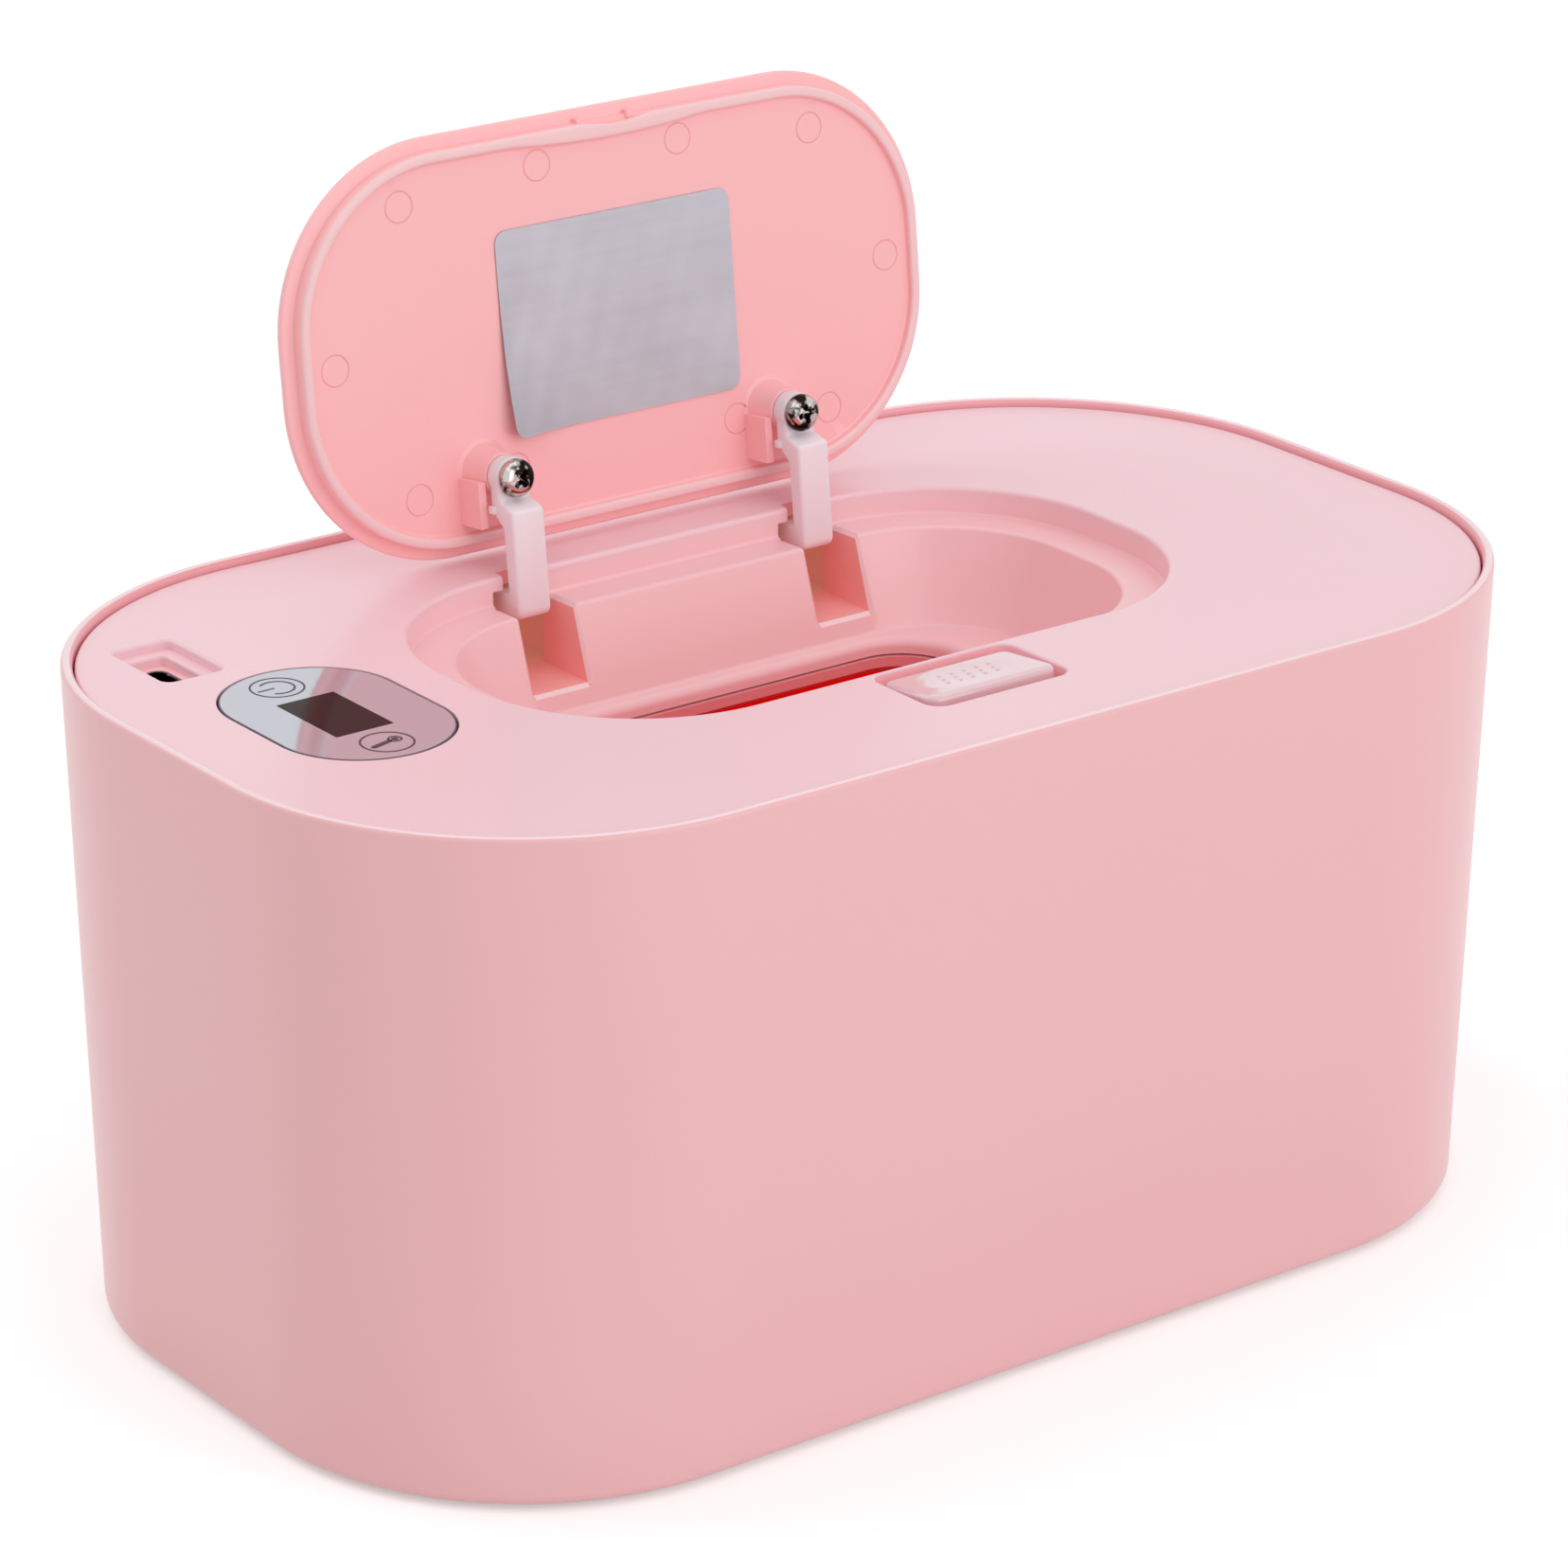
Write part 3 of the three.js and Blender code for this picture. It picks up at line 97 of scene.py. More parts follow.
# A closed body through rings of points: capped at both ends, or joined from the last ring to the first
def ringSolid(name, rings, hollow=False):
    count = len(rings[0][1])
    clearSelection()
    bpy.ops.mesh.primitive_circle_add(vertices=count, radius=1, fill_type="NOTHING" if hollow else "NGON")
    piece = bpy.context.object
    piece.name = name
    bpy.ops.object.mode_set(mode="EDIT")
    bpy.ops.mesh.select_mode(type="EDGE" if hollow else "FACE")
    bpy.ops.mesh.select_all(action="SELECT")
    spots = {index: index for index in range(count)}
    for level, (z, points) in enumerate(rings):
        if level and hollow:
            bpy.ops.mesh.extrude_edges_move(TRANSFORM_OT_translate={"value": (0, 0, 1)})
        elif level:
            bpy.ops.mesh.extrude_region_move(TRANSFORM_OT_translate={"value": (0, 0, 1)})
        mesh = bmesh.from_edit_mesh(piece.data)
        mesh.verts.ensure_lookup_table()
        if level:
            spots = {
                vert.index: spots[edge.other_vert(vert).index]
                for vert in mesh.verts if vert.select
                for edge in vert.link_edges if not edge.other_vert(vert).select
            }
        for index, spot in spots.items():
            mesh.verts[index].co = (*points[spot], z)
    if hollow:
        mesh = bmesh.from_edit_mesh(piece.data)
        for edge in mesh.edges:
            edge.select = edge.is_boundary
        bmesh.update_edit_mesh(piece.data)
        bpy.ops.mesh.bridge_edge_loops()
    bmesh.update_edit_mesh(piece.data)
    bpy.ops.mesh.select_all(action="SELECT")
    bpy.ops.mesh.normals_make_consistent(inside=False)
    bpy.ops.object.mode_set(mode="OBJECT")
    return piece


# The primitive that was just added, with its name, its scale and its transform applied
def fresh(name, scale=(1, 1, 1)):
    piece = bpy.context.object
    piece.name = name
    piece.scale = scale
    bpy.ops.object.transform_apply(location=True, rotation=True, scale=True)
    return piece


def block(name, x0, x1, y0, y1, z0, z1):
    clearSelection()
    bpy.ops.mesh.primitive_cube_add(size=1, location=((x0 + x1) / 2, (y0 + y1) / 2, (z0 + z1) / 2))
    return fresh(name, (x1 - x0, y1 - y0, z1 - z0))


def post(name, x, y, radius, z0, z1, topRadius=None, sides=48):
    clearSelection()
    bpy.ops.mesh.primitive_cone_add(vertices=sides, radius1=radius, radius2=topRadius or radius,
                                    depth=z1 - z0, location=(x, y, (z0 + z1) / 2))
    return fresh(name)


def barAlongX(name, y, z, radius, x0, x1, sides=32):
    clearSelection()
    bpy.ops.mesh.primitive_cylinder_add(vertices=sides, radius=radius, depth=x1 - x0,
                                        location=((x0 + x1) / 2, y, z), rotation=(0, quarter, 0))
    return fresh(name)


def sideProfile(name, outline, x0, x1):
    rings = [(0, outline), (x1 - x0, outline)]
    piece = ringSolid(name, rings)
    piece.data.transform(Matrix(((0, 0, 1, x0), (1, 0, 0, 0), (0, 1, 0, 0), (0, 0, 0, 1))))
    return piece


def together(pieces, name=None):
    clearSelection()
    for piece in pieces:
        piece.select_set(True)
    bpy.context.view_layer.objects.active = pieces[0]
    if len(pieces) > 1:
        bpy.ops.object.join()
    joined = bpy.context.object
    joined.name = name or joined.name
    return joined


def carve(piece, tools, operation="DIFFERENCE"):
    for tool in tools:
        pick(piece)
        modifier = piece.modifiers.new(operation.title(), "BOOLEAN")
        modifier.operation = operation
        modifier.solver = "EXACT"
        modifier.object = tool
        bpy.ops.object.modifier_apply(modifier=modifier.name)
        bpy.data.objects.remove(tool)
    return piece


def faceOut(piece):
    pick(piece)
    bpy.ops.object.mode_set(mode="EDIT")
    bpy.ops.mesh.select_all(action="SELECT")
    bpy.ops.mesh.normals_make_consistent(inside=False)
    bpy.ops.object.mode_set(mode="OBJECT")


def weld(piece, closeness=0.004):
    pick(piece)
    bpy.ops.object.mode_set(mode="EDIT")
    bpy.ops.mesh.select_all(action="SELECT")
    bpy.ops.mesh.remove_doubles(threshold=closeness)
    bpy.ops.mesh.dissolve_degenerate(threshold=closeness)
    bpy.ops.object.mode_set(mode="OBJECT")


def softenEdges(piece, width, angle=35, segments=2):
    pick(piece)
    modifier = piece.modifiers.new("Soft edges", "BEVEL")
    modifier.width = width
    modifier.segments = segments
    modifier.limit_method = "ANGLE"
    modifier.angle_limit = math.radians(angle)
    modifier.use_clamp_overlap = True
    bpy.ops.object.modifier_apply(modifier=modifier.name)


# Smooth shading that leaves large flat faces, of more than four corners, flat
def smooth(piece, angle=32, flatArea=20):
    pick(piece)
    bpy.ops.object.shade_smooth_by_angle(angle=math.radians(angle))
    mesh = piece.data
    borders = set()
    for face in mesh.polygons:
        if len(face.vertices) > 4 and face.area > flatArea:
            borders.update(face.edge_keys)
    for edge in mesh.edges:
        if edge.key in borders:
            edge.use_edge_sharp = True


# Faces that the test picks get another of the piece's materials
def tint(piece, index, chosen):
    for face in piece.data.polygons:
        if chosen(*face.center, face.normal):
            face.material_index = index


# A round wire through close points
def wire(name, points, radius):
    curve = bpy.data.curves.new(name, "CURVE")
    curve.dimensions = "3D"
    curve.bevel_depth = radius
    curve.bevel_resolution = 3
    curve.use_fill_caps = True
    line = curve.splines.new("POLY")
    line.points.add(len(points) - 1)
    for place, spot in zip(line.points, points):
        place.co = (*spot, 1)
    piece = bpy.data.objects.new(name, curve)
    bpy.context.scene.collection.objects.link(piece)
    pick(piece)
    bpy.ops.object.convert(target="MESH")
    piece = bpy.context.object
    piece.name = name
    weld(piece, 0.001)
    faceOut(piece)
    return piece


def settle(piece, body, nodes=(), opened=False):
    place = Matrix.Translation((0, 0, footLift))
    if opened:
        pivot = Matrix.Translation((0, hinge["y"], hinge["z"]))
        place = place @ pivot @ Matrix.Rotation(math.radians(-hinge["open"]), 4, "X") @ pivot.inverted()
    piece.data.transform(Matrix.Scale(mm, 4) @ place)
    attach(piece, body)
    if nodes:
        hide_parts(*nodes)
    return piece


# Angles of a quarter turn, or of part of one, in even steps
def discs(name, x, y, profile, steps=12):
    return ringSolid(name, [(z, roundedLoop(x, y, radius, radius, radius, steps)) for z, radius in profile])


def turns(steps):
    return [quarter * step / steps for step in range(steps + 1)]


def turnsBack(steps):
    return [quarter * (1 - step / steps) for step in range(steps + 1)]


def arc(radius, steps, start=0, end=quarter):
    for step in range(steps + 1):
        a = start + (end - start) * step / steps
        yield radius * math.sin(a), radius * math.cos(a)


print("helpers ready")


# Materials

def newGroup(name, inputs, outputs):
    group = bpy.data.node_groups.new(name, "ShaderNodeTree")
    for label, kind, value in inputs:
        socket = group.interface.new_socket(name=label, in_out="INPUT", socket_type=kind)
        socket.default_value = value
    for label, kind in outputs:
        group.interface.new_socket(name=label, in_out="OUTPUT", socket_type=kind)
    start = group.nodes.new("NodeGroupInput")
    end = group.nodes.new("NodeGroupOutput")
    return group, start, end


floatSocket, colourSocket, vectorSocket = "NodeSocketFloat", "NodeSocketColor", "NodeSocketVector"


def node(tree, kind, links=None, **settings):
    made = tree.nodes.new(kind)
    for key, value in settings.items():
        setattr(made, key, value)
    for key, value in (links or {}).items():
        socket = made.inputs[key]
        if isinstance(value, bpy.types.NodeSocket):
            tree.links.new(value, socket)
        else:
            socket.default_value = value
    return made


def combine(tree, operation, first, second):
    return node(tree, "ShaderNodeMath", {0: first, 1: second}, operation=operation).outputs[0]


def mixColours(tree, share, first, second):
    return node(tree, "ShaderNodeMix", {"Factor": share, 6: first, 7: second}, data_type="RGBA").outputs[2]


def noise(tree, place, scale, detail, **more):
    return node(tree, "ShaderNodeTexNoise", {"Vector": place, "Scale": scale, "Detail": detail, **more})


# Moulded plastic: a slow drift of tone, fine grain, a few dust specks, and a warmer, deeper pink painted in
# below a given height as shade and red bounce light in its recesses
def makeMouldedGroup():
    group, start, end = newGroup("mouldedPlastic", [
        ("Colour", colourSocket, (0.8, 0.5, 0.5, 1)),
        ("Deep colour", colourSocket, (0.7, 0.4, 0.4, 1)),
        ("Drift", floatSocket, 0.2),
        ("Specks", floatSocket, 0.5),
        ("Roughness", floatSocket, 0.4),
        ("Grain size", floatSocket, 2200),
        ("Grain", floatSocket, 0.05),
        ("Recess colour", colourSocket, (0.8, 0.4, 0.4, 1)),
        ("Recess top", floatSocket, -1),
        ("Recess foot", floatSocket, -2),
    ], [("Colour", colourSocket), ("Roughness", floatSocket), ("Normal", vectorSocket)])
    place = node(group, "ShaderNodeTexCoord").outputs["Object"]
    drift = noise(group, place, 14, 3, Roughness=0.5)
    amount = combine(group, "MULTIPLY", drift.outputs["Fac"], start.outputs["Drift"])
    tone = mixColours(group, amount, start.outputs["Colour"], start.outputs["Deep colour"])
    height = node(group, "ShaderNodeSeparateXYZ", {"Vector": place}).outputs["Z"]
    # Painted shade and bounce light: from Recess top down to Recess foot the tone turns to the recess shade
    # colour
    recess = node(group, "ShaderNodeMapRange", {
        "Value": height, "From Min": start.outputs["Recess top"], "From Max": start.outputs["Recess foot"],
    }, interpolation_type="SMOOTHSTEP")
    deep = mixColours(group, recess.outputs[0], tone, start.outputs["Recess colour"])
    dust = node(group, "ShaderNodeTexVoronoi", {"Vector": place, "Scale": 52, "Randomness": 1})
    speck = node(group, "ShaderNodeMapRange", {
        "Value": dust.outputs["Distance"], "From Min": 0.006, "From Max": 0.013, "To Min": 1, "To Max": 0,
    })
    few = combine(group, "MULTIPLY", speck.outputs[0], start.outputs["Specks"])
    group.links.new(mixColours(group, few, deep, (0.22, 0.11, 0.10, 1)), end.inputs["Colour"])
    haze = noise(group, place, 30, 1)
    hazeRange = node(group, "ShaderNodeMapRange", {
        "Value": haze.outputs["Fac"], "From Min": 0, "From Max": 1, "To Min": -0.012, "To Max": 0.012,
    })
    rough = combine(group, "ADD", start.outputs["Roughness"], hazeRange.outputs[0])
    group.links.new(rough, end.inputs["Roughness"])
    grain = noise(group, place, start.outputs["Grain size"], 2)
    bump = node(group, "ShaderNodeBump", {
        "Height": grain.outputs["Fac"], "Strength": start.outputs["Grain"], "Distance": 0.0002,
    })
    group.links.new(bump.outputs["Normal"], end.inputs["Normal"])
    return group


# Drawn or rolled metal: fine lines along one axis, with a cloudy polish; a narrow patch range turns the
# patches into sharp dark and bright painted reflections
def makeRolledGroup():
    group, start, end = newGroup("rolledMetal", [
        ("Colour", colourSocket, (0.6, 0.6, 0.6, 1)),
        ("Dark colour", colourSocket, (0.4, 0.4, 0.4, 1)),
        ("Roughness", floatSocket, 0.3),
        ("Line stretch", vectorSocket, (40, 4000, 40)),
        ("Relief", floatSocket, 0.05),
        ("Patch low", floatSocket, 0),
        ("Patch high", floatSocket, 1),
    ], [("Colour", colourSocket), ("Roughness", floatSocket), ("Normal", vectorSocket)])
    place = node(group, "ShaderNodeTexCoord").outputs["Object"]
    stretched = node(group, "ShaderNodeVectorMath", {
        0: place, 1: start.outputs["Line stretch"],
    }, operation="MULTIPLY")
    lines = noise(group, stretched.outputs[0], 1, 4)
    clouds = noise(group, place, 70, 3)
    patch = node(group, "ShaderNodeMapRange", {
        "Value": combine(group, "MULTIPLY", lines.outputs["Fac"], clouds.outputs["Fac"]),
        "From Min": start.outputs["Patch low"],
        "From Max": start.outputs["Patch high"],
    })
    tone = mixColours(group, patch.outputs[0], start.outputs["Colour"], start.outputs["Dark colour"])
    group.links.new(tone, end.inputs["Colour"])
    spread = node(group, "ShaderNodeMapRange", {
        "Value": clouds.outputs["Fac"], "From Min": 0.3, "From Max": 0.7, "To Min": -0.06, "To Max": 0.06,
    })
    rough = combine(group, "ADD", start.outputs["Roughness"], spread.outputs[0])
    group.links.new(rough, end.inputs["Roughness"])
    bump = node(group, "ShaderNodeBump", {
        "Height": lines.outputs["Fac"], "Strength": start.outputs["Relief"], "Distance": 0.0001,
    })
    group.links.new(bump.outputs["Normal"], end.inputs["Normal"])
    return group


mouldedPlastic = makeMouldedGroup()
rolledMetal = makeRolledGroup()


def linear(colour):
    share = [value / 255 for value in colour]
    return (*[c / 12.92 if c <= 0.04045 else ((c + 0.055) / 1.055) ** 2.4 for c in share], 1)


def finish(name, group, values, **sockets):
    material = bpy.data.materials.new(name)
    material.use_nodes = True
    tree = material.node_tree
    shader = tree.nodes["Principled BSDF"]
    effect = node(tree, "ShaderNodeGroup", node_tree=group)
    for key, value in values.items():
        effect.inputs[key].default_value = value
    tree.links.new(effect.outputs["Colour"], shader.inputs["Base Color"])
    tree.links.new(effect.outputs["Roughness"], shader.inputs["Roughness"])
    tree.links.new(effect.outputs["Normal"], shader.inputs["Normal"])
    for key, value in sockets.items():
        shader.inputs[key.replace("_", " ")].default_value = value
    return material


# Finishes with a light and a strength carry a faint painted glow: emission standing in for light that passes
# through the plastic. Those named Shade are darker, warmer pinks painted as shade.
plastics = {
    "casePink": {"colour": (249, 193, 196), "deep": (247, 188, 191), "rough": 0.3, "specks": 0.3},
    # The cover's recess colour, from the top height down to the foot height, is painted shade and red bounce
    # light in the basin and its openings
    "coverPink": {"colour": (251, 212, 220), "deep": (249, 207, 215), "rough": 0.28, "specks": 0.3,
                  "recess": (255, 206, 210), "top": 0.1024, "foot": 0.0985},
    "lidPink": {"colour": (255, 197, 199), "deep": (253, 191, 193), "rough": 0.3, "specks": 0.15,
                "light": (255, 120, 120), "strength": 0.05},
    "lidCrestHighlight": {"colour": (254, 212, 214), "deep": (252, 208, 210), "rough": 0.2},
    "lidGrooveShade": {"colour": (251, 183, 184), "deep": (248, 178, 179), "rough": 0.4},
    "buttonPink": {"colour": (234, 196, 203), "deep": (231, 192, 198), "rough": 0.14},
    "pocketShade": {"colour": (231, 160, 137), "deep": (226, 152, 130), "rough": 0.5,
                    "light": (170, 127, 113), "strength": 0.3},
    "hingeShade": {"colour": (255, 184, 182), "deep": (252, 178, 176), "rough": 0.35,
                   "light": (226, 110, 104), "strength": 0.08},
    "slotCrestHighlight": {"colour": (255, 222, 225), "deep": (255, 217, 220), "rough": 0.16},
    "latchShade": {"colour": (253, 196, 201), "deep": (250, 190, 195), "rough": 0.4,
                   "light": (240, 130, 138), "strength": 0.1},
    "seamShade": {"colour": (220, 124, 126), "deep": (212, 114, 116), "rough": 0.5},
    "rimShade": {"colour": (246, 176, 182), "deep": (242, 170, 176), "rough": 0.3},
    "rimCrestHighlight": {"colour": (254, 226, 230), "deep": (252, 222, 226), "rough": 0.16},
    "gapShade": {"colour": (82, 58, 66), "deep": (66, 46, 54), "rough": 0.6},
    # A deeper pink for the cover base: painted shade where its edge shows under the wipe slot's lip
    "lipShadePink": {"colour": (244, 162, 168), "deep": (240, 154, 160), "rough": 0.4},
    # The wipe box's deep coral red also stands in for the red bounce light inside the box, and it carries a
    # painted glow
    "coralRedGlow": {"colour": (232, 34, 16), "deep": (214, 22, 10), "rough": 0.45,
                 "light": (226, 16, 4), "strength": 0.25},
    "milkyNylon": {"colour": (250, 238, 243), "deep": (246, 231, 237), "rough": 0.38,
                   "glow": 0.5},
    "blackPlastic": {"colour": (52, 44, 46), "deep": (38, 32, 34), "rough": 0.5},
    "footRubber": {"colour": (150, 142, 144), "deep": (128, 120, 122), "rough": 0.8},
    "clearSilicone": {"colour": (226, 226, 228), "deep": (208, 208, 212), "rough": 0.5,
                      "glow": 0.4},
    "whiteFoam": {"colour": (240, 240, 236), "deep": (222, 222, 216), "rough": 0.9},
    "boardMask": {"colour": (44, 108, 68), "deep": (34, 88, 54), "rough": 0.45},
    "amberFilm": {"colour": (190, 118, 42), "deep": (160, 90, 26), "rough": 0.35},
    "leadSheath": {"colour": (232, 228, 220), "deep": (220, 214, 204), "rough": 0.5},
}

looks = {}
for name, look in plastics.items():
    looks[name] = finish(name, mouldedPlastic, {
        "Colour": linear(look["colour"]),
        "Deep colour": linear(look["deep"]),
        "Drift": 0.6,
        "Specks": look.get("specks", 0),
        "Roughness": look["rough"],
        "Grain size": 2200,
        "Grain": 0.06,
        "Recess colour": linear(look.get("recess", look["colour"])),
        "Recess top": look.get("top", -1),
        "Recess foot": look.get("foot", -2),
    }, Subsurface_Weight=look.get("glow", 0), Subsurface_Radius=(1, 0.7, 0.7), Subsurface_Scale=0.003,
        Emission_Color=linear(look.get("light", (0, 0, 0))), Emission_Strength=look.get("strength", 0))
shine = looks["buttonPink"].node_tree.nodes["Principled BSDF"].inputs
shine["Coat Weight"].default_value = 1
shine["Coat IOR"].default_value = 1.55
shine["Coat Roughness"].default_value = 0.05
foamGrain = looks["whiteFoam"].node_tree.nodes["Group"].inputs
foamGrain["Grain size"].default_value = 600
foamGrain["Grain"].default_value = 0.9
metals = {
    "silverFoil": {"colour": (186, 184, 192), "dark": (166, 164, 173), "rough": 0.42, "metal": 0.75,
                   "stretch": (30, 900, 900), "relief": 0.15},
    # Chrome: its sharp dark and bright patches are painted reflection
    "chromePaintedReflection": {"colour": (204, 198, 194), "dark": (30, 24, 20), "rough": 0.1, "metal": 1,
                    "stretch": (460, 460, 460), "relief": 0.02, "patch": (0.2, 0.25)},
    "springSteel": {"colour": (176, 178, 182), "dark": (140, 142, 146), "rough": 0.3, "metal": 1,
                    "stretch": (300, 3000, 3000), "relief": 0.08},
    "aluminium": {"colour": (206, 208, 212), "dark": (182, 184, 188), "rough": 0.36, "metal": 1,
                  "stretch": (60, 3500, 60), "relief": 0.1},
    # A deep rosy tint for the heat plate: painted shade, so that its edge in the seam under the wipe slot
    # shows as shaded pink
    "rosyShadeAlloy": {"colour": (226, 130, 132), "dark": (206, 112, 114), "rough": 0.5, "metal": 0.3,
                  "stretch": (60, 3500, 60), "relief": 0.1},
}
for name, look in metals.items():
    looks[name] = finish(name, rolledMetal, {
        "Colour": linear(look["colour"]),
        "Dark colour": linear(look["dark"]),
        "Roughness": look["rough"],
        "Line stretch": look["stretch"],
        "Relief": look["relief"],
        "Patch low": look.get("patch", (0, 1))[0],
        "Patch high": look.get("patch", (0, 1))[1],
    }, Metallic=look["metal"])

films = {
    "lensPrint": {"colour": (198, 200, 210), "deep": (190, 191, 202), "rough": 0.07, "metal": 0.65},
    "lensEdge": {"colour": (96, 84, 98), "deep": (84, 72, 86), "rough": 0.3, "metal": 0},
    "lensWindow": {"colour": (36, 12, 10), "deep": (28, 8, 7), "rough": 0.12, "metal": 0, "bend": 1.17},
    "lensMark": {"colour": (60, 42, 50), "deep": (48, 34, 40), "rough": 0.35, "metal": 0},
}
for name, look in films.items():
    looks[name] = finish(name, mouldedPlastic, {
        "Colour": linear(look["colour"]),
        "Deep colour": linear(look["deep"]),
        "Drift": 0.5,
        "Specks": 0,
        "Roughness": look["rough"],
        "Grain size": 900,
        "Grain": 0.0,
    }, Metallic=look["metal"], IOR=look.get("bend", 1.45))


def paint(piece, *names):
    piece.data.materials.clear()
    for name in names:
        piece.data.materials.append(looks[name])


print("materials ready")


# Case

tub = {
    "halfX": 110, "halfY": 65.85, "height": 103, "corner": 50.2,
    "endLean": 3.12, "sideLean": 3.24, "cornerLean": 4.6,
    "wall": 3, "floor": 2.6, "rim": 1.73, "seat": 99.32, "edge": 2, "steps": 28, "along": 4,
    "standFoot": 4, "standHead": 3.4, "standLow": 2.1, "standTop": 6.6, "footSeat": 7.3, "footDeep": 1.2,
    "footFromEnd": 29, "footFromSide": 27,
}
footPlaces = {
    f"{end}_{side}": (x * (tub["halfX"] - tub["endLean"] - tub["footFromEnd"]),
                      y * (tub["halfY"] - tub["sideLean"] - tub["footFromSide"]))
    for end, y in (("front", -1), ("rear", 1)) for side, x in (("left", -1), ("right", 1))
}


def caseRing(z, inset):
    lean = 1 - z / tub["height"]
    halfX = tub["halfX"] - tub["endLean"] * lean - inset
    halfY = tub["halfY"] - tub["sideLean"] * lean - inset
    radius = tub["corner"] - tub["cornerLean"] * lean - inset
    return z, roundedLoop(0, 0, halfX, halfY, radius, tub["steps"], tub["along"])


def makeTub():
    edge, crest = tub["edge"], tub["rim"] / 2
    rings = [caseRing(edge - rise, edge - out) for out, rise in arc(edge, 6)]
    rings += [caseRing(tub["height"] * share, 0) for share in (0.2, 0.5, 0.8)]
    rings += [caseRing(tub["height"] - crest + rise, crest - out)
              for out, rise in arc(crest, 10, quarter, -quarter)]
    rings += [
        caseRing(tub["seat"], tub["rim"]),
        caseRing(tub["seat"], tub["wall"]),
        caseRing(tub["floor"] + 1, tub["wall"]),
        caseRing(tub["floor"], tub["wall"] + 1),
    ]
    piece = ringSolid("caseShell", rings)
    stands = [post("stand", share * tub["halfX"], side * tub["halfY"] / 2, tub["standFoot"],
                   tub["standLow"], tub["standTop"], tub["standHead"])
              for side in (-1, 1) for share in (-0.6, 0, 0.6)]
    carve(piece, [together(stands)], "UNION")
    seats = [post("seat", x, y, tub["footSeat"], -1, tub["footDeep"]) for x, y in footPlaces.values()]
    carve(piece, [together(seats)])
    smooth(piece)
    paint(piece, "casePink", "rimShade", "rimCrestHighlight")
    # Painted shade on the inner side of the rim, painted highlight along its crest
    tint(piece, 1, lambda x, y, z, normal: z > tub["seat"] - 1 and x * normal.x + y * normal.y < -0.1)
    tint(piece, 2, lambda x, y, z, normal: z > tub["height"] - 0.24)
    return settle(piece, "case", ["case_tub"])


makeTub()
print("case ready")


# Cover: plate, skirt, basin and the openings in them

cover = {
    "plateInset": 2.03, "skirtInset": 3.5, "skirtWall": 1.8, "edge": 0.5,
    "basinWall": 2, "basinEdge": 0.7, "ledgeZ": 97.37, "ledgeRise": 0.2, "ledgeWidth": 7.15, "ledgeEdge": 0.8,
    "wellFloor": 82.7, "wellLean": 5, "wellFillet": 0.5,
    "slotX": 38, "slotY": 19, "slotCorner": 9.5, "slotEdge": 1.7, "chamfer": 0.6,
    "steps": 22,
}


def basinRing(z, inset):
    return z, roundedLoop(basin["x"], basin["y"], basin["halfX"] - inset, basin["halfY"] - inset,
                          basin["corner"] - inset, cover["steps"])


def slotRing(z, inset):
    return z, roundedLoop(basin["x"], basin["y"], cover["slotX"] - inset, cover["slotY"] - inset,
                          cover["slotCorner"] - inset, 12)


def basinHollow():
    edge, width, lip = cover["basinEdge"], cover["ledgeWidth"], cover["ledgeEdge"]
    top = cover["ledgeZ"] + cover["ledgeRise"]
    foot = width + cover["wellLean"]
    lean = cover["wellLean"] / (top - cover["wellFloor"])
    turn = quarter - math.atan(lean)
    rings = [basinRing(plateTop + 1, -edge)]
    rings += [basinRing(plateTop - edge + edge * math.sin(a), -edge + edge * math.cos(a))
              for a in turnsBack(5)]
    rings += [basinRing(cover["ledgeZ"] + 0.5 - 0.5 * math.sin(a), 0.5 * (1 - math.cos(a)))
              for a in turns(4)]
    rings += [basinRing(top - lip * (1 - math.cos(a)), width - lip + lip * math.sin(a))
              for a in (turn * step / 5 for step in range(6))]
    fillet = cover["wellFillet"]
    rings += [
        basinRing(cover["wellFloor"] + fillet, foot - fillet * lean),
        basinRing(cover["wellFloor"] + fillet * 0.45, foot + fillet * 0.05),
        basinRing(cover["wellFloor"] + fillet * 0.12, foot + fillet * 0.42),
        basinRing(cover["wellFloor"], foot + fillet),
    ]
    return ringSolid("basinHollow", rings[::-1])


# A straight hole whose rim is rounded at the plate's top face
def flaredSlab(name, x, y, halfX, halfY, radius, bottom, flare, steps=8):
    def loop(z, out):
        return z, roundedLoop(x, y, halfX + out, halfY + out, radius + out, steps)

    rings = [loop(bottom, 0)]
    rings += [loop(plateTop - flare + flare * math.sin(a), flare - flare * math.cos(a))
              for a in turns(4)]
    rings.append(loop(plateTop + 1, flare))
    return ringSolid(name, rings)


display = {"x": -80.95, "y": 1.34, "halfX": 13.4, "halfY": 20, "thick": 1.2, "seat": 100.32, "gap": 0.3}
socket = {
    "x": -89, "y": 34.4, "halfX": 5, "halfY": 8, "corner": 1.5, "step": 2, "level": 100.27, "floor": 98.6,
}
latch = {
    "x": 1.65, "y": -40, "halfX": 12.85, "halfY": 8, "corner": 2.8, "floor": 84.32,
    "pinY": -36, "pinZ": 92.52, "pocketFront": -48, "pocketRear": -33.15,
    "boxHalf": 14.45, "boxFront": -49.6, "boxRear": -31.55, "boxUnder": 82.72,
    "window": 6.5, "windowFront": -34.15, "windowRear": -30.15, "windowUnder": 97.47,
}


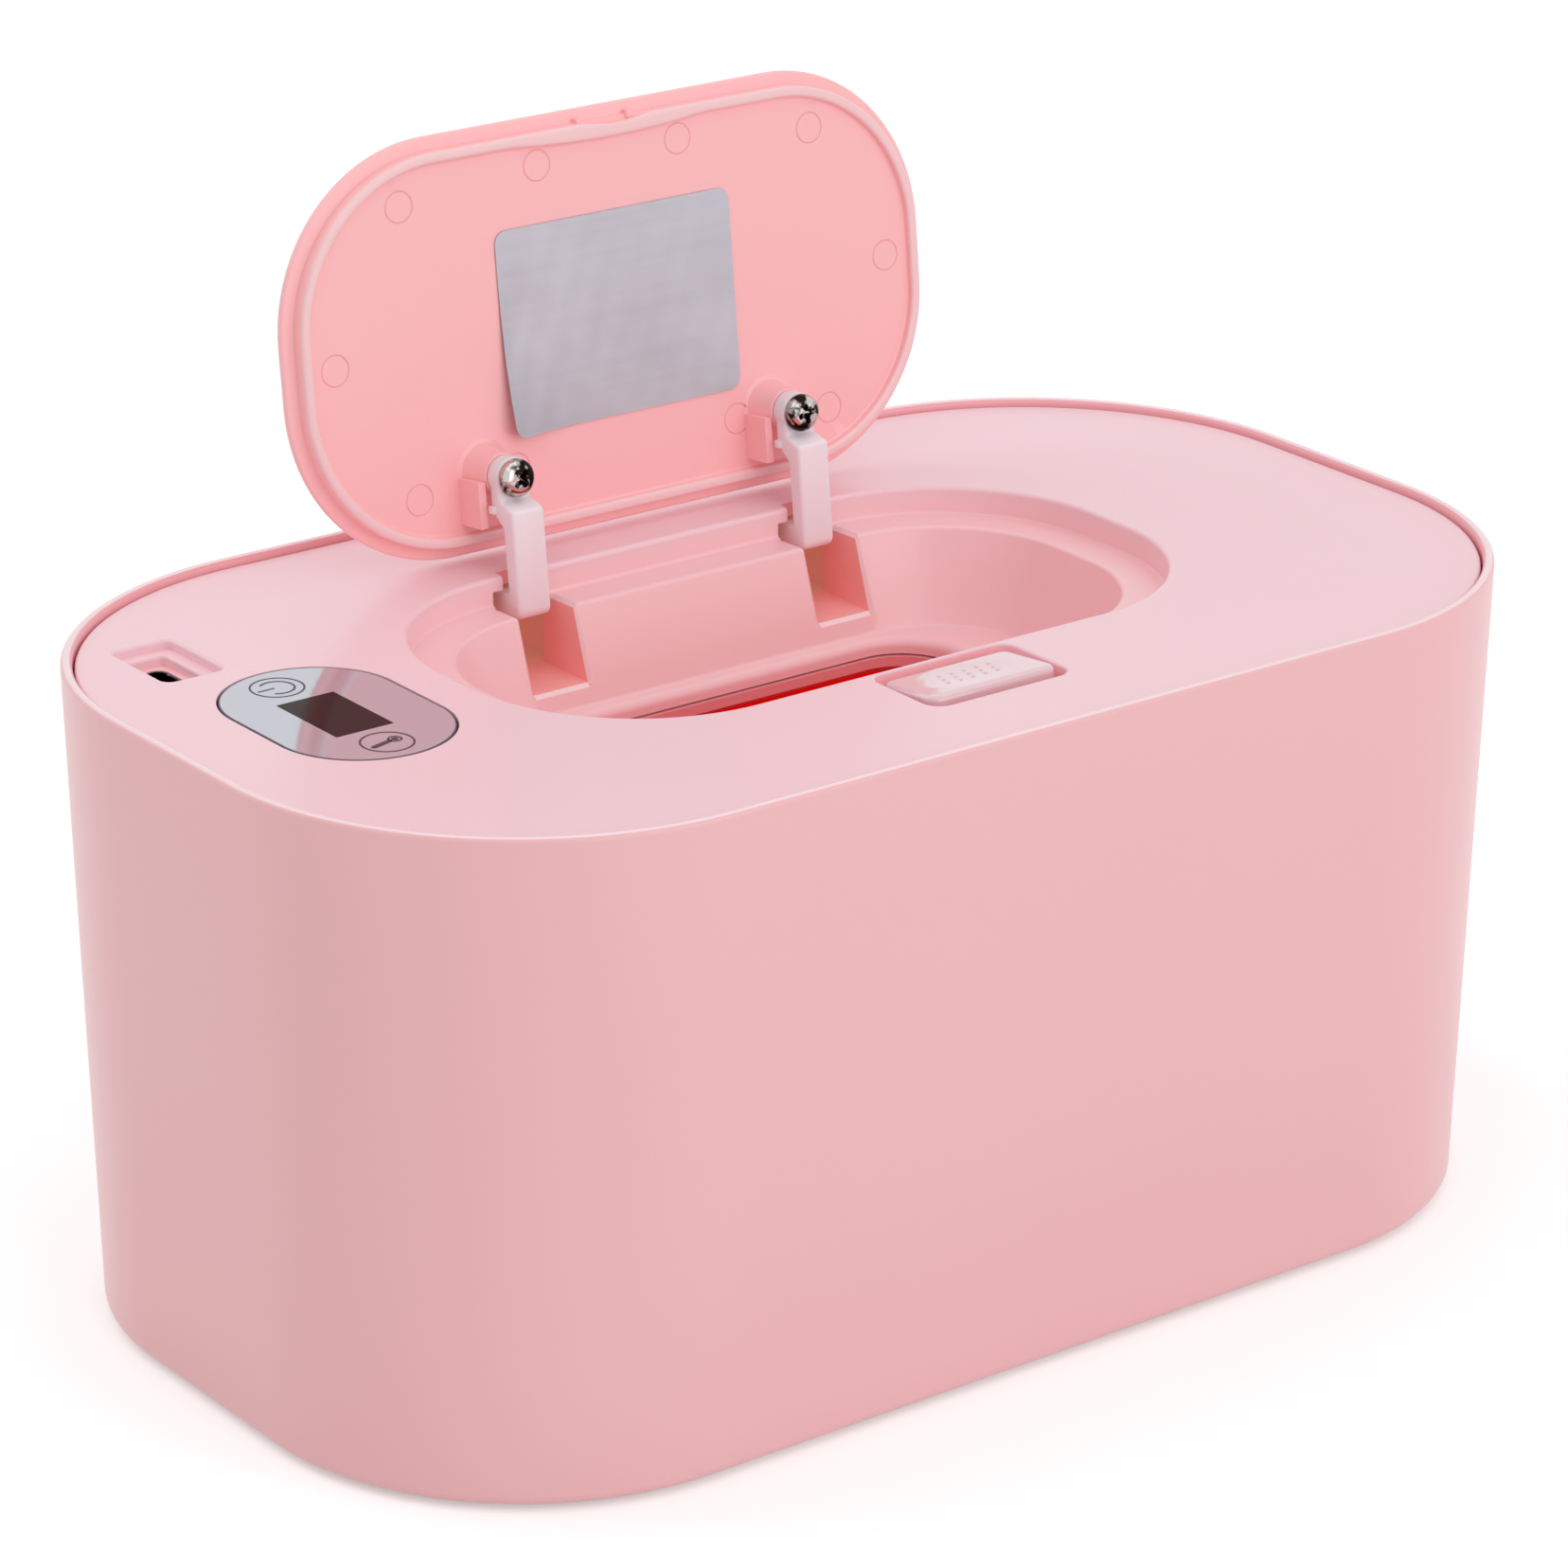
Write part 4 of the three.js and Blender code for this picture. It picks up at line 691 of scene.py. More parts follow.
# Slot and pocket for an arm, the notch above them, and the walls round them, from the middle of the arm
hingeHole = {
    "slot": 5.05, "slotRear": 37.65, "pocket": 7, "pocketFront": 36.65, "pocketRear": 46, "floor": 86,
    "notch": 3.2, "notchFront": 34.55, "notchRear": 37.7,
}
hingeBox = {
    "slot": 6.65, "slotFront": 23.4, "slotRear": 38.25, "pocket": 8.6, "pocketFront": 35.05,
    "pocketRear": 47.6, "under": 84.4,
}


def hingeCuts(x):
    slot, pocket, notch, floor = (hingeHole[key] for key in ("slot", "pocket", "notch", "floor"))
    return [
        block("armSlot", x - slot, x + slot, basin["y"], hingeHole["slotRear"], floor, plateUnder),
        block("hingePocket", x - pocket, x + pocket, hingeHole["pocketFront"], hingeHole["pocketRear"],
              floor, plateUnder),
        block("rimNotch", x - notch, x + notch, hingeHole["notchFront"], hingeHole["notchRear"],
              plateUnder - 1, plateTop + 1),
    ]


def hingeWalls(x):
    slot, pocket, under = hingeBox["slot"], hingeBox["pocket"], hingeBox["under"]
    return [
        block("slotBox", x - slot, x + slot, hingeBox["slotFront"], hingeBox["slotRear"], under, rootTop),
        block("pocketBox", x - pocket, x + pocket, hingeBox["pocketFront"], hingeBox["pocketRear"],
              under, rootTop),
    ]


# Bars, square on their corner, that take the sharpness off the edges of an arm slot
def slotChamfers(x):
    side = cover["chamfer"] * math.sqrt(2)
    top, bottom, half = cover["ledgeZ"] + cover["ledgeRise"], hingeHole["floor"], hingeHole["slot"]
    lean = cover["wellLean"] / (top - cover["wellFloor"])
    slope = cover["ledgeRise"] / (cover["ledgeWidth"] - cover["ledgeEdge"] - 0.5)
    ledge = top + slope * (cover["ledgeEdge"] + 0.2)
    wallTop = basin["y"] + basin["halfY"] - cover["ledgeWidth"]
    wallFoot = wallTop - lean * (top - bottom)
    bars = []
    for edgeX in (x - half, x + half):
        for y0, z0, y1, z1 in ((wallFoot, bottom, wallTop + 0.2, top + 0.6),
                               (wallTop - 0.2, ledge, 34.9, cover["ledgeZ"])):
            bar = block("chamfer", -side / 2, side / 2, -side / 2, side / 2, 0, math.hypot(y1 - y0, z1 - z0))
            bar.data.transform(Matrix.Translation((edgeX, y0, z0))
                               @ Matrix.Rotation(-math.atan2(y1 - y0, z1 - z0), 4, "X")
                               @ Matrix.Rotation(quarter / 2, 4, "Z"))
            bars.append(bar)
    turn = (quarter - math.atan(lean)) / 2
    sill = block("sill", x - half, x + half, -side, side, -cover["chamfer"] * math.sin(turn), 1.5)
    sill.data.transform(Matrix.Translation((0, wallFoot, bottom)) @ Matrix.Rotation(turn, 4, "X"))
    return [*bars, sill]


def makeCover():
    inset, skirt, edge = cover["plateInset"], cover["skirtInset"], cover["edge"]
    rings = [caseRing(wellUnder, skirt), caseRing(plateUnder, skirt), caseRing(plateUnder, inset)]
    rings += [caseRing(plateTop - edge + edge * math.sin(a), inset + edge - edge * math.cos(a))
              for a in turns(4)]
    piece = ringSolid("coverShell", rings)
    inside = ringSolid("inside", [caseRing(wellUnder - 1, skirt + cover["skirtWall"]),
                                  caseRing(plateUnder, skirt + cover["skirtWall"])])
    carve(piece, [inside])
    wall = cover["basinWall"]
    bowl = ringSolid("bowl", [
        basinRing(wellUnder, cover["ledgeWidth"] + cover["wellLean"] - wall),
        basinRing(cover["ledgeZ"] - wall, cover["ledgeWidth"] - wall),
        basinRing(cover["ledgeZ"] - wall, -wall),
        basinRing(plateTop - 1.1, -wall),
    ])
    boxes = [bowl]
    for x in armXs:
        boxes += hingeWalls(x)
    boxes.append(block("latchBox", latch["x"] - latch["boxHalf"], latch["x"] + latch["boxHalf"],
                       latch["boxFront"], latch["boxRear"], latch["boxUnder"], rootTop))
    boxes.append(ringSolid("socketBox", [(z, roundedLoop(socket["x"], socket["y"], 4.6, 7.6, 1.5, 4))
                                         for z in (97, rootTop)]))
    carve(piece, boxes, "UNION")
    cuts = [basinHollow()]
    slotEdge, wellFloor = cover["slotEdge"], cover["wellFloor"]
    slot = [slotRing(wellUnder - 1, 0)]
    slot += [slotRing(wellFloor - slotEdge * (1 - math.sin(a)), -slotEdge * (1 - math.cos(a)))
             for a in turns(7)]
    slot.append(slotRing(wellFloor + 0.5, -slotEdge))
    cuts.append(ringSolid("wipeSlot", slot))
    for x in armXs:
        cuts += hingeCuts(x) + slotChamfers(x)
    cuts.append(flaredSlab("recess", socket["x"], socket["y"], socket["halfX"], socket["halfY"],
                           socket["corner"], socket["level"], 0.6))
    mouthX, mouthY = socket["halfX"] - socket["step"], socket["halfY"] - socket["step"]
    cuts.append(ringSolid("mouth", [
        (z, roundedLoop(socket["x"], socket["y"], mouthX + out, mouthY + out, 0.8 + out, 6))
        for z, out in ((socket["floor"], 0), (socket["level"] - 0.6, 0), (socket["level"] - 0.3, 0.08),
                       (socket["level"] - 0.1, 0.28), (socket["level"], 0.6), (socket["level"] + 0.1, 0.6))
    ]))
    cuts.append(ringSolid("mouthHole", [(z, roundedLoop(socket["x"], socket["y"], 1.95, 4.8, 1.9, 8))
                                        for z in (96, 99)]))
    seatX, seatY = display["halfX"] + display["gap"], display["halfY"] + display["gap"]
    cuts.append(ringSolid("lensSeat", [(z, roundedLoop(display["x"], display["y"], seatX, seatY, seatX, 24))
                                       for z in (display["seat"], plateTop + 1)]))
    left, right = latch["x"] - latch["halfX"], latch["x"] + latch["halfX"]
    cuts.append(block("latchPocket", left, right, latch["pocketFront"], latch["pocketRear"],
                      latch["floor"], plateUnder))
    cuts.append(flaredSlab("buttonHole", latch["x"], latch["y"], latch["halfX"], latch["halfY"],
                           latch["corner"], 99.3, 0.45))
    cuts.append(block("noseWindow", basin["x"] - latch["window"], basin["x"] + latch["window"],
                      latch["windowFront"], latch["windowRear"], latch["windowUnder"], plateUnder))
    carve(piece, cuts)
    weld(piece)
    smooth(piece, 30)
    paint(piece, "coverPink", "pocketShade", "latchShade", "seamShade", "gapShade", "hingeShade", "slotCrestHighlight")
    corner = tub["corner"] - inset
    middleX, middleY = tub["halfX"] - inset - corner, tub["halfY"] - inset - corner

    def fromArm(x):
        return min(abs(x - armX) for armX in armXs)

    def onRim(x, y):
        return math.hypot(max(0, abs(x) - middleX), max(0, abs(y) - middleY)) > corner - 1.5

    def inLensSeat(x, y):
        return math.hypot((x - display["x"]) / 14, (y - display["y"]) / 21) < 1

    # Painted shade: deeper pinks on the arm slots, notches and pockets, round the button, on the plate's
    # outer edge and on the floor of the lens seat. Painted highlight: a paler, glossier pink on the slot
    # chamfers.
    tint(piece, 5, lambda x, y, z, normal: fromArm(x) < 5.1 and 22 < y < 37.7 and 85.9 < z < 99.7
         and (abs(normal.x) > 0.9 or z < 86.1))
    tint(piece, 5, lambda x, y, z, normal: fromArm(x) < 3.25 and 34.5 < y < 37.75 and z > 98.5)
    tint(piece, 1, lambda x, y, z, normal: fromArm(x) < 7.05 and 36.5 < y < 46.2 and 85.9 < z < 99.7)
    tint(piece, 2, lambda x, y, z, normal: latch["floor"] - 0.1 < z < plateTop - 0.44 and y > -48.1
         and max(abs(x - latch["x"]) - latch["halfX"], abs(y - latch["y"]) - latch["halfY"]) < 0.05)
    tint(piece, 6, lambda x, y, z, normal: fromArm(x) < 5.7 and 20 < y < 35.2 and 85.4 < z < 98
         and (0.4 < abs(normal.x) < 0.85 or z < 86 and 0.5 < normal.z < 0.9))
    tint(piece, 3, lambda x, y, z, normal: plateUnder - 0.1 < z < plateTop - 0.6 and abs(normal.z) < 0.3
         and onRim(x, y))
    tint(piece, 4, lambda x, y, z, normal: abs(z - display["seat"]) < 0.05 and normal.z > 0.9
         and inLensSeat(x, y))
    return settle(piece, "cover", ["top_cover"])


makeCover()
print("cover ready")


# Lid, drawn shut

lid = {
    "halfX": 60.1, "halfY": 32.5, "corner": 27.95, "flange": 100.5, "edge": 0.55,
    "ribOut": 2.1, "ribIn": 3.8, "ribDepth": 2.7, "panel": 1.5, "crest": 0.55,
    "bulge": 18, "bulgeDepth": 1, "pocket": 6.3, "pocketX": 1.7, "pocketDepth": 0.7, "pocketStart": 0.9,
    "marks": [(13.2, 25.3), (-13.2, 25.3), (38.5, 23), (-38.5, 23), (39, -22), (-39, -22),
              (52, 0.4), (-52, 0.4), (21, -20.5), (-21, -20.5)],
}


def lidRing(z, inset, bulge=0.0, pocket=0.0):
    loop = roundedLoop(basin["x"], basin["y"], lid["halfX"] - inset, lid["halfY"] - inset,
                       lid["corner"] - inset, 22, 64)
    shaped = []
    for x, y in loop:
        if y < basin["y"]:
            u = (x - basin["x"]) / lid["bulge"]
            y += bulge * max(0, 1 - u * u) if abs(u) < 1 else 0
            v = (x - basin["x"] - lid["pocketX"]) / lid["pocket"]
            y += pocket * (1 - v * v) if abs(v) < 1 else 0
        shaped.append((x, y))
    return z, shaped


# What stands inside the lid: screw bosses, arm guides, catch tabs and round marks
lidInside = {
    "bossDrop": 6.9, "guideNear": 3.4, "guideFar": 4.7, "guideFront": 0.6, "guideRear": 7.8,
    "tab": 4.7, "tabHalf": 0.45, "tabFront": -28.8, "tabRear": -27.7, "tabDrop": 1.3,
    "mark": 2.4, "markDeep": 0.16,
}


def makeLid():
    under, edge, crest = lid["flange"], lid["edge"], lid["crest"]
    foot = under - lid["ribDepth"]
    panel = under - lid["panel"]
    rings = [lidRing(plateTop, edge + 1.5)]
    rings += [lidRing(plateTop - edge + edge * math.sin(a), edge - edge * math.cos(a))
              for a in turnsBack(5)]
    rings += [lidRing(under + edge - edge * math.sin(a), edge - edge * math.cos(a))
              for a in turns(5)]
    deep = lid["pocketDepth"]
    rings += [
        lidRing(under, lid["ribOut"] - 0.25),
        lidRing(under - 0.12, lid["ribOut"] - 0.04),
        lidRing(under - lid["pocketStart"] + 0.15, lid["ribOut"]),
        lidRing(under - lid["pocketStart"], lid["ribOut"], pocket=deep),
        lidRing(foot + crest, lid["ribOut"], pocket=deep),
    ]
    rings += [lidRing(foot + crest - crest * math.sin(a), lid["ribOut"] + crest * (1 - math.cos(a)),
                      pocket=deep * (1 - 0.3 * math.sin(a)))
              for a in turns(4)[1:]]
    bulge = lid["bulgeDepth"]
    rings += [lidRing(foot + crest - crest * math.cos(a), lid["ribIn"] - crest * (1 - math.sin(a)), bulge)
              for a in turns(4)]
    rings += [
        lidRing(panel - 0.35, lid["ribIn"], bulge),
        lidRing(panel - 0.1, lid["ribIn"] + 0.12, bulge),
        lidRing(panel, lid["ribIn"] + 0.4, bulge),
    ]
    piece = ringSolid("lidShell", rings)
    grow = []
    bossFoot, bossRoot = under - lidInside["bossDrop"], panel + 0.5
    bossRings = [(bossFoot, 3.1), (under - 6.7, 3.3), (panel - 0.9, 3.95), (panel - 0.35, 4.15),
                 (panel, 4.75), (bossRoot, 4.75)]
    for x in armXs:
        grow.append(discs("boss", x, padY, bossRings))
        for side in (-1, 1):
            near, far = sorted((x + side * lidInside["guideNear"], x + side * lidInside["guideFar"]))
            grow.append(block("guide", near, far, padY + lidInside["guideFront"],
                              padY + lidInside["guideRear"], bossFoot, bossRoot))
    for side in (-1, 1):
        x, thin = basin["x"] + side * lidInside["tab"], lidInside["tabHalf"]
        grow.append(block("catchTab", x - thin, x + thin, lidInside["tabFront"], lidInside["tabRear"],
                          under - lidInside["tabDrop"], under + 0.3))
    carve(piece, grow, "UNION")
    marks = []
    for u, w in lid["marks"]:
        clearSelection()
        place = (basin["x"] + u, basin["y"] - w, panel - 0.06)
        bpy.ops.mesh.primitive_torus_add(major_radius=lidInside["mark"], minor_radius=lidInside["markDeep"],
                                         major_segments=40, minor_segments=8, location=place)
        marks.append(fresh("mark"))
    holes = [post("screwHole", x, padY, boreRadius, under - 8, panel) for x in armXs]
    carve(piece, [together(marks), together(holes)])
    weld(piece)
    smooth(piece, 30)
    paint(piece, "lidPink", "lidCrestHighlight", "lidGrooveShade")
    # Painted highlight: a paler, glossier pink on the underside of the rib crest. Painted shade: a deeper
    # pink in the grooves of the round marks.
    tint(piece, 1, lambda x, y, z, normal: foot - 0.1 < z < foot + crest and normal.z < -0.3)
    tint(piece, 2, lambda x, y, z, normal: panel + 0.005 < z < panel + 0.2 and min(
        math.hypot(x - basin["x"] - u, y - basin["y"] + w) for u, w in lid["marks"]) < 3)
    return settle(piece, "lid", ["lid_panel"], opened=True)


makeLid()


# A bare silver sheet on the inside of the lid: one corner has lifted, and the face is very slightly rippled
sheet = {"halfX": 22, "halfY": 16, "corner": 2, "back": 0.4, "thick": 0.12, "lift": 2.4, "span": 12}


def makeFoil():
    count = 56
    clearSelection()
    bpy.ops.mesh.primitive_grid_add(x_subdivisions=count, y_subdivisions=count * 3 // 4, size=2)
    piece = bpy.context.object
    piece.name = "foilSheet"
    face = lid["flange"] - lid["panel"] - sheet["thick"] - 0.04
    cornerX, cornerY, radius = sheet["halfX"], sheet["halfY"], sheet["corner"]
    for vert in piece.data.vertices:
        u, w = vert.co.x * cornerX, -vert.co.y * cornerY
        outX, outY = abs(u) - (cornerX - radius), abs(w) - (cornerY - radius)
        if outX > 0 and outY > 0:
            reach = math.hypot(outX, outY)
            longest = max(outX, outY)
            scale = longest / reach
            u = math.copysign(cornerX - radius + outX * scale, u)
            w = math.copysign(cornerY - radius + outY * scale, w)
        fromCorner = (u + cornerX) * 0.9 + (w + cornerY) * 0.5
        lifted = max(0, 1 - fromCorner / sheet["span"])
        ripple = 0.05 * math.sin(u * 0.9 + w * 0.3) * math.sin(w * 0.7 - u * 0.2)
        lift = sheet["lift"] * lifted ** 2 + (0.05 + ripple) * min(1, 3 * lifted + 0.35)
        vert.co = (basin["x"] + u, basin["y"] - sheet["back"] - w, face - lift)
    modifier = piece.modifiers.new("Foil thickness", "SOLIDIFY")
    modifier.thickness = sheet["thick"]
    modifier.offset = 0
    pick(piece)
    bpy.ops.object.modifier_apply(modifier=modifier.name)
    faceOut(piece)
    smooth(piece, 50)
    paint(piece, "silverFoil")
    return settle(piece, "lid", ["foil_sheet"], opened=True)


makeFoil()
print("lid ready")


# Gooseneck arms of milky nylon

arm = {
    "half": 2.9, "padDrop": 7.2, "padThick": 2.5, "padRadius": 3.1, "legDrop": 10, "legUnder": 13,
    "soft": 0.5, "neck": 1.6, "curl": 1.6, "eye": 2.3, "pegNear": 2.5, "pegFar": 3.6, "pegFront": 4.2,
    "pegRear": 5.3, "pegDrop": 0.4, "pegFoot": 1.6, "stepFront": 5.1, "stepRear": 7.6,
    "underFront": 3.4, "underRear": 4.6,
}


def makeArm(side, x):
    flange = lid["flange"]
    neck, rear = hinge["y"] - arm["neck"], hinge["y"] + arm["eye"]
    under, bend = arm["legUnder"], arm["curl"]
    curl = [(rear - bend + bend * math.cos(a), flange - under + bend - bend * math.sin(a))
            for a in turns(5)]
    outline = [
        (padY, flange - arm["padDrop"]),
        (padY + arm["stepFront"], flange - arm["padDrop"]),
        (padY + arm["stepRear"], flange - arm["legDrop"]),
        (neck, flange - arm["legDrop"]),
        (neck, hinge["z"]),
        (rear, hinge["z"]),
        *curl,
        (padY + arm["underRear"], flange - under),
        (padY + arm["underFront"], flange - arm["padDrop"] - arm["padThick"]),
        (padY, flange - arm["padDrop"] - arm["padThick"]),
    ]
    piece = sideProfile(f"hingeArm{side}", outline, x - arm["half"], x + arm["half"])
    softenEdges(piece, arm["soft"], 25, 3)
    padTop = flange - arm["padDrop"]
    pad = discs("pad", x, padY, [
        (padTop - arm["padThick"], arm["padRadius"] - 0.3),
        (padTop - arm["padThick"] + 0.3, arm["padRadius"]),
        (padTop, arm["padRadius"]),
    ])
    eye = barAlongX("eye", hinge["y"], hinge["z"], arm["eye"], x - arm["half"], x + arm["half"])
    peg = block("peg", x - arm["pegFar"], x - arm["pegNear"], padY + arm["pegFront"],
                padY + arm["pegRear"], padTop - arm["pegFoot"], padTop - arm["pegDrop"])
    carve(piece, [pad, eye, peg], "UNION")
    carve(piece, [
        post("screwHole", x, padY, boreRadius, padTop - 4, padTop + 1),
        barAlongX("pinHole", hinge["y"], hinge["z"], boreRadius, x - 4, x + 4),
    ])
    weld(piece)
    smooth(piece, 35)
    paint(piece, "milkyNylon")
    return settle(piece, "lid", [f"hinge_arm_{side.lower()}"], opened=True)


for side, x in zip(("Left", "Right"), armXs):
    makeArm(side, x)
print("arms ready")


# One cross-head screw, copied to each place

screw = {"head": 2.95, "rise": 1.8, "shank": 1.2, "cross": 1.75, "slot": 0.42, "long": 7, "short": 5.1,
         "dome": 1.3, "skirt": 0.5}
coverScrews = {"x": 61.172, "y": 37.172, "z": 77.9}
boardScrews = {"x": 14.55, "y": 18.36, "z": 92.42}


def makeScrew(length):
    head, rise, shank, dome, skirt = (screw[key] for key in ("head", "rise", "shank", "dome", "skirt"))
    profile = [(-length, 0.05), (-length, shank * 0.6), (-length + shank, shank), (0, shank),
               (0, head - 0.15), (0.12, head), (skirt, head)]
    profile += [(skirt + dome * math.sin(a), head - dome + dome * math.cos(a)) for a in turns(7)[1:]]
    profile.append((rise, 0.05))
    piece = discs("screw", 0, 0, profile)
    long, thin = screw["cross"], screw["slot"]
    tools = []
    for turn in (0, quarter):
        blade = ringSolid("blade", [
            (rise - dome, roundedLoop(0, 0, long * 0.35, thin * 0.7, thin * 0.3, 2)),
            (rise - 0.2, roundedLoop(0, 0, long * 0.85, thin, thin * 0.4, 2)),
            (rise + 0.4, roundedLoop(0, 0, long, thin * 1.15, thin * 0.4, 2)),
        ])
        blade.data.transform(Matrix.Rotation(turn + 0.3, 4, "Z"))
        tools.append(blade)
    centre = ringSolid("centre", [(rise - dome, roundedLoop(0, 0, 0.35, 0.35, 0.34, 3)),
                                  (rise + 0.4, roundedLoop(0, 0, 1.0, 1.0, 0.98, 3))])
    carve(piece, [*tools, centre])
    smooth(piece, 35)
    paint(piece, "chromePaintedReflection")
    return piece


def placeScrew(model, name, x, y, z, turn, body, node, opened=False):
    piece = model.copy()
    piece.data = model.data.copy()
    piece.name = name
    bpy.context.scene.collection.objects.link(piece)
    piece.data.transform(Matrix.Translation((x, y, z)) @ Matrix.Rotation(math.pi, 4, "X")
                         @ Matrix.Rotation(turn, 4, "Z"))
    return settle(piece, body, [node], opened)


longScrew = makeScrew(screw["long"])
for side, x, turn in zip(("left", "right"), armXs, (0.5, -0.1)):
    top = lid["flange"] - arm["padDrop"] - arm["padThick"] - 0.3
    placeScrew(longScrew, f"armScrew.{side}", x, padY, top, turn,
               "lid", f"arm_screw_{side}", True)
for index, (name, sideX, sideY) in enumerate((
    ("front_left", -1, -1), ("front_right", 1, -1), ("rear_left", -1, 1), ("rear_right", 1, 1),
)):
    x, y = basin["x"] + sideX * coverScrews["x"], basin["y"] + sideY * coverScrews["y"]
    placeScrew(longScrew, f"coverScrew.{name}", x, y, coverScrews["z"], 0.4 * index,
               "cover", f"cover_screw_{name}")
shortScrew = makeScrew(screw["short"])
for index, (name, side) in enumerate((("front", 1), ("rear", -1))):
    x, y = display["x"] + side * boardScrews["x"], display["y"] - side * boardScrews["y"]
    placeScrew(shortScrew, f"boardScrew.{name}", x, y, boardScrews["z"], 0.7 * index,
               "cover", f"board_screw_{name}")
for model in (longScrew, shortScrew):
    bpy.data.objects.remove(model)
print("screws ready")


# Release button: tilted cap with a scoop and a field of grip dots

button = {"halfX": 11.75, "rear": -33.5, "front": -46, "top": 101.32, "thick": 4.1, "corner": 2, "edge": 1.0,
          "tilt": 5.5, "scoop": 0.2, "scoopX": 9, "scoopY": 5.2, "scoopLeft": 0.9, "scoopBack": 0.2,
          "dot": 0.42, "dotStepX": 2.3, "dotStepY": 1.7, "dotShift": 0.5, "dotSink": 0.2,
          "hollowStarts": (-10.15, 4.5), "hollowLong": 5.65, "hollowDeep": 2.2, "skin": 1.6,
          "web": 9, "webThick": 2.2, "hub": 2.4, "nose": 6, "noseTip": -29.7, "noseUnder": 97.77,
          "noseTop": 98.62}


def makeButton():
    rear, front, top = button["rear"], button["front"], button["top"]
    y, halfY = (rear + front) / 2, (rear - front) / 2
    edge = button["edge"]

    def loop(z, inset):
        return z, roundedLoop(latch["x"], y, button["halfX"] - inset, halfY - inset,
                              button["corner"] - inset, 10)

    rings = [loop(top - button["thick"], 0)]
    rings += [loop(top - edge + edge * math.sin(a), edge - edge * math.cos(a)) for a in turns(5)]
    cap = ringSolid("releaseButton", rings)
    clearSelection()
    deep = button["scoop"]
    ball = (button["scoopY"] ** 2 + deep ** 2) / (2 * deep)
    bpy.ops.mesh.primitive_uv_sphere_add(segments=96, ring_count=64, radius=ball,
                                         location=(latch["x"] - button["scoopLeft"], y + button["scoopBack"],
                                                   top + ball - deep))
    carve(cap, [fresh("scoop", (button["scoopX"] / button["scoopY"], 1, 1))])
    dots = []
    for row in range(3):
        for column in range(5):
            dx = (column - 2) * button["dotStepX"] + (row - 1) * button["dotShift"]
            dy = (row - 1) * button["dotStepY"]
            across = (dx + button["scoopLeft"]) / button["scoopX"]
            drop = deep * (1 - across ** 2 - (dy / button["scoopY"]) ** 2)
            clearSelection()
            place = (latch["x"] + dx, y + button["scoopBack"] + dy, top - max(0, drop) - button["dotSink"])
            bpy.ops.mesh.primitive_uv_sphere_add(segments=16, ring_count=8, radius=button["dot"],
                                                 location=place)
            dots.append(fresh("dot"))
    carve(cap, [together(dots)], "UNION")
    bottom = top - button["thick"]
    web, thick = button["web"], button["webThick"]
    hollows = [block("hollow", latch["x"] + start, latch["x"] + start + button["hollowLong"],
                     front + button["skin"], rear - thick, bottom - 1, bottom + button["hollowDeep"])
               for start in button["hollowStarts"]]
    carve(cap, [together(hollows)])
    turn = (Matrix.Translation((0, rear, top)) @ Matrix.Rotation(math.radians(-button["tilt"]), 4, "X")
            @ Matrix.Translation((0, -rear, -top)))
    cap.data.transform(turn)
    left, right = latch["x"] - web, latch["x"] + web
    carve(cap, [
        block("web", left, right, rear - thick, rear, latch["pinZ"], bottom + 0.5),
        barAlongX("hub", latch["pinY"], latch["pinZ"], button["hub"], left, right),
        block("nose", basin["x"] - button["nose"], basin["x"] + button["nose"], rear - thick / 2,
              button["noseTip"], button["noseUnder"], button["noseTop"]),
    ], "UNION")
    carve(cap, [barAlongX("pinHole", latch["pinY"], latch["pinZ"], boreRadius, left - 1, right + 1)])
    weld(cap)
    smooth(cap, 35)
    paint(cap, "buttonPink")
    return settle(cap, "button", ["release_button"])


makeButton()
print("button ready")


# Touch display: a glossy printed lens, its dark window and two key marks

window = {"left": 0.6, "front": 0.34, "halfX": 4.85, "halfY": 7.9, "corner": 0.15}
keys = {"ring": 0.32, "line": 0.36, "powerLeft": 1.35, "powerBack": 13.76, "heatLeft": 0.65,
        "heatFront": 13.94}


def makeLens():
    half, halfY, bottom = display["halfX"], display["halfY"], plateTop - display["thick"]

    def loop(z, inset):
        return z, roundedLoop(display["x"], display["y"], half - inset, halfY - inset, half - inset, 28)

    piece = ringSolid("touchLens", [loop(bottom, 0), loop(plateTop - 0.25, 0), loop(plateTop - 0.08, 0.08),
                                    loop(plateTop, 0.25)])
    smooth(piece, 25)
    paint(piece, "lensPrint", "lensEdge")
    tint(piece, 1, lambda x, y, z, normal: normal.z < 0.95)
    settle(piece, "cover", ["touch_lens"])
    x, y = display["x"] - window["left"], display["y"] - window["front"]
    outline = roundedLoop(x, y, window["halfX"], window["halfY"], window["corner"], 2)
    piece = ringSolid("displayWindow", [(plateTop - 0.1, outline), (plateTop + 0.02, outline)])
    smooth(piece)
    paint(piece, "lensWindow")
    settle(piece, "cover")


# A printed line round a circle, or round part of one, as a very thin flat band
def flatRing(name, x, y, radius, width, start=0.0, end=1.0, steps=64):
    low, high = plateTop - 0.1, plateTop + 0.03
    turn = [2 * math.pi * (start + (end - start) * step / steps) for step in range(steps + 1)]
    far, near = radius + width / 2, radius - width / 2
    outer = [(x + far * math.cos(a), y + far * math.sin(a)) for a in turn]
    inner = [(x + near * math.cos(a), y + near * math.sin(a)) for a in turn]
    if end - start < 1:
        loop = outer + inner[::-1]
        return ringSolid(name, [(low, loop), (high, loop)])
    outer.pop()
    inner.pop()
    return ringSolid(name, [(low, outer), (high, outer), (high, inner), (low, inner)], hollow=True)


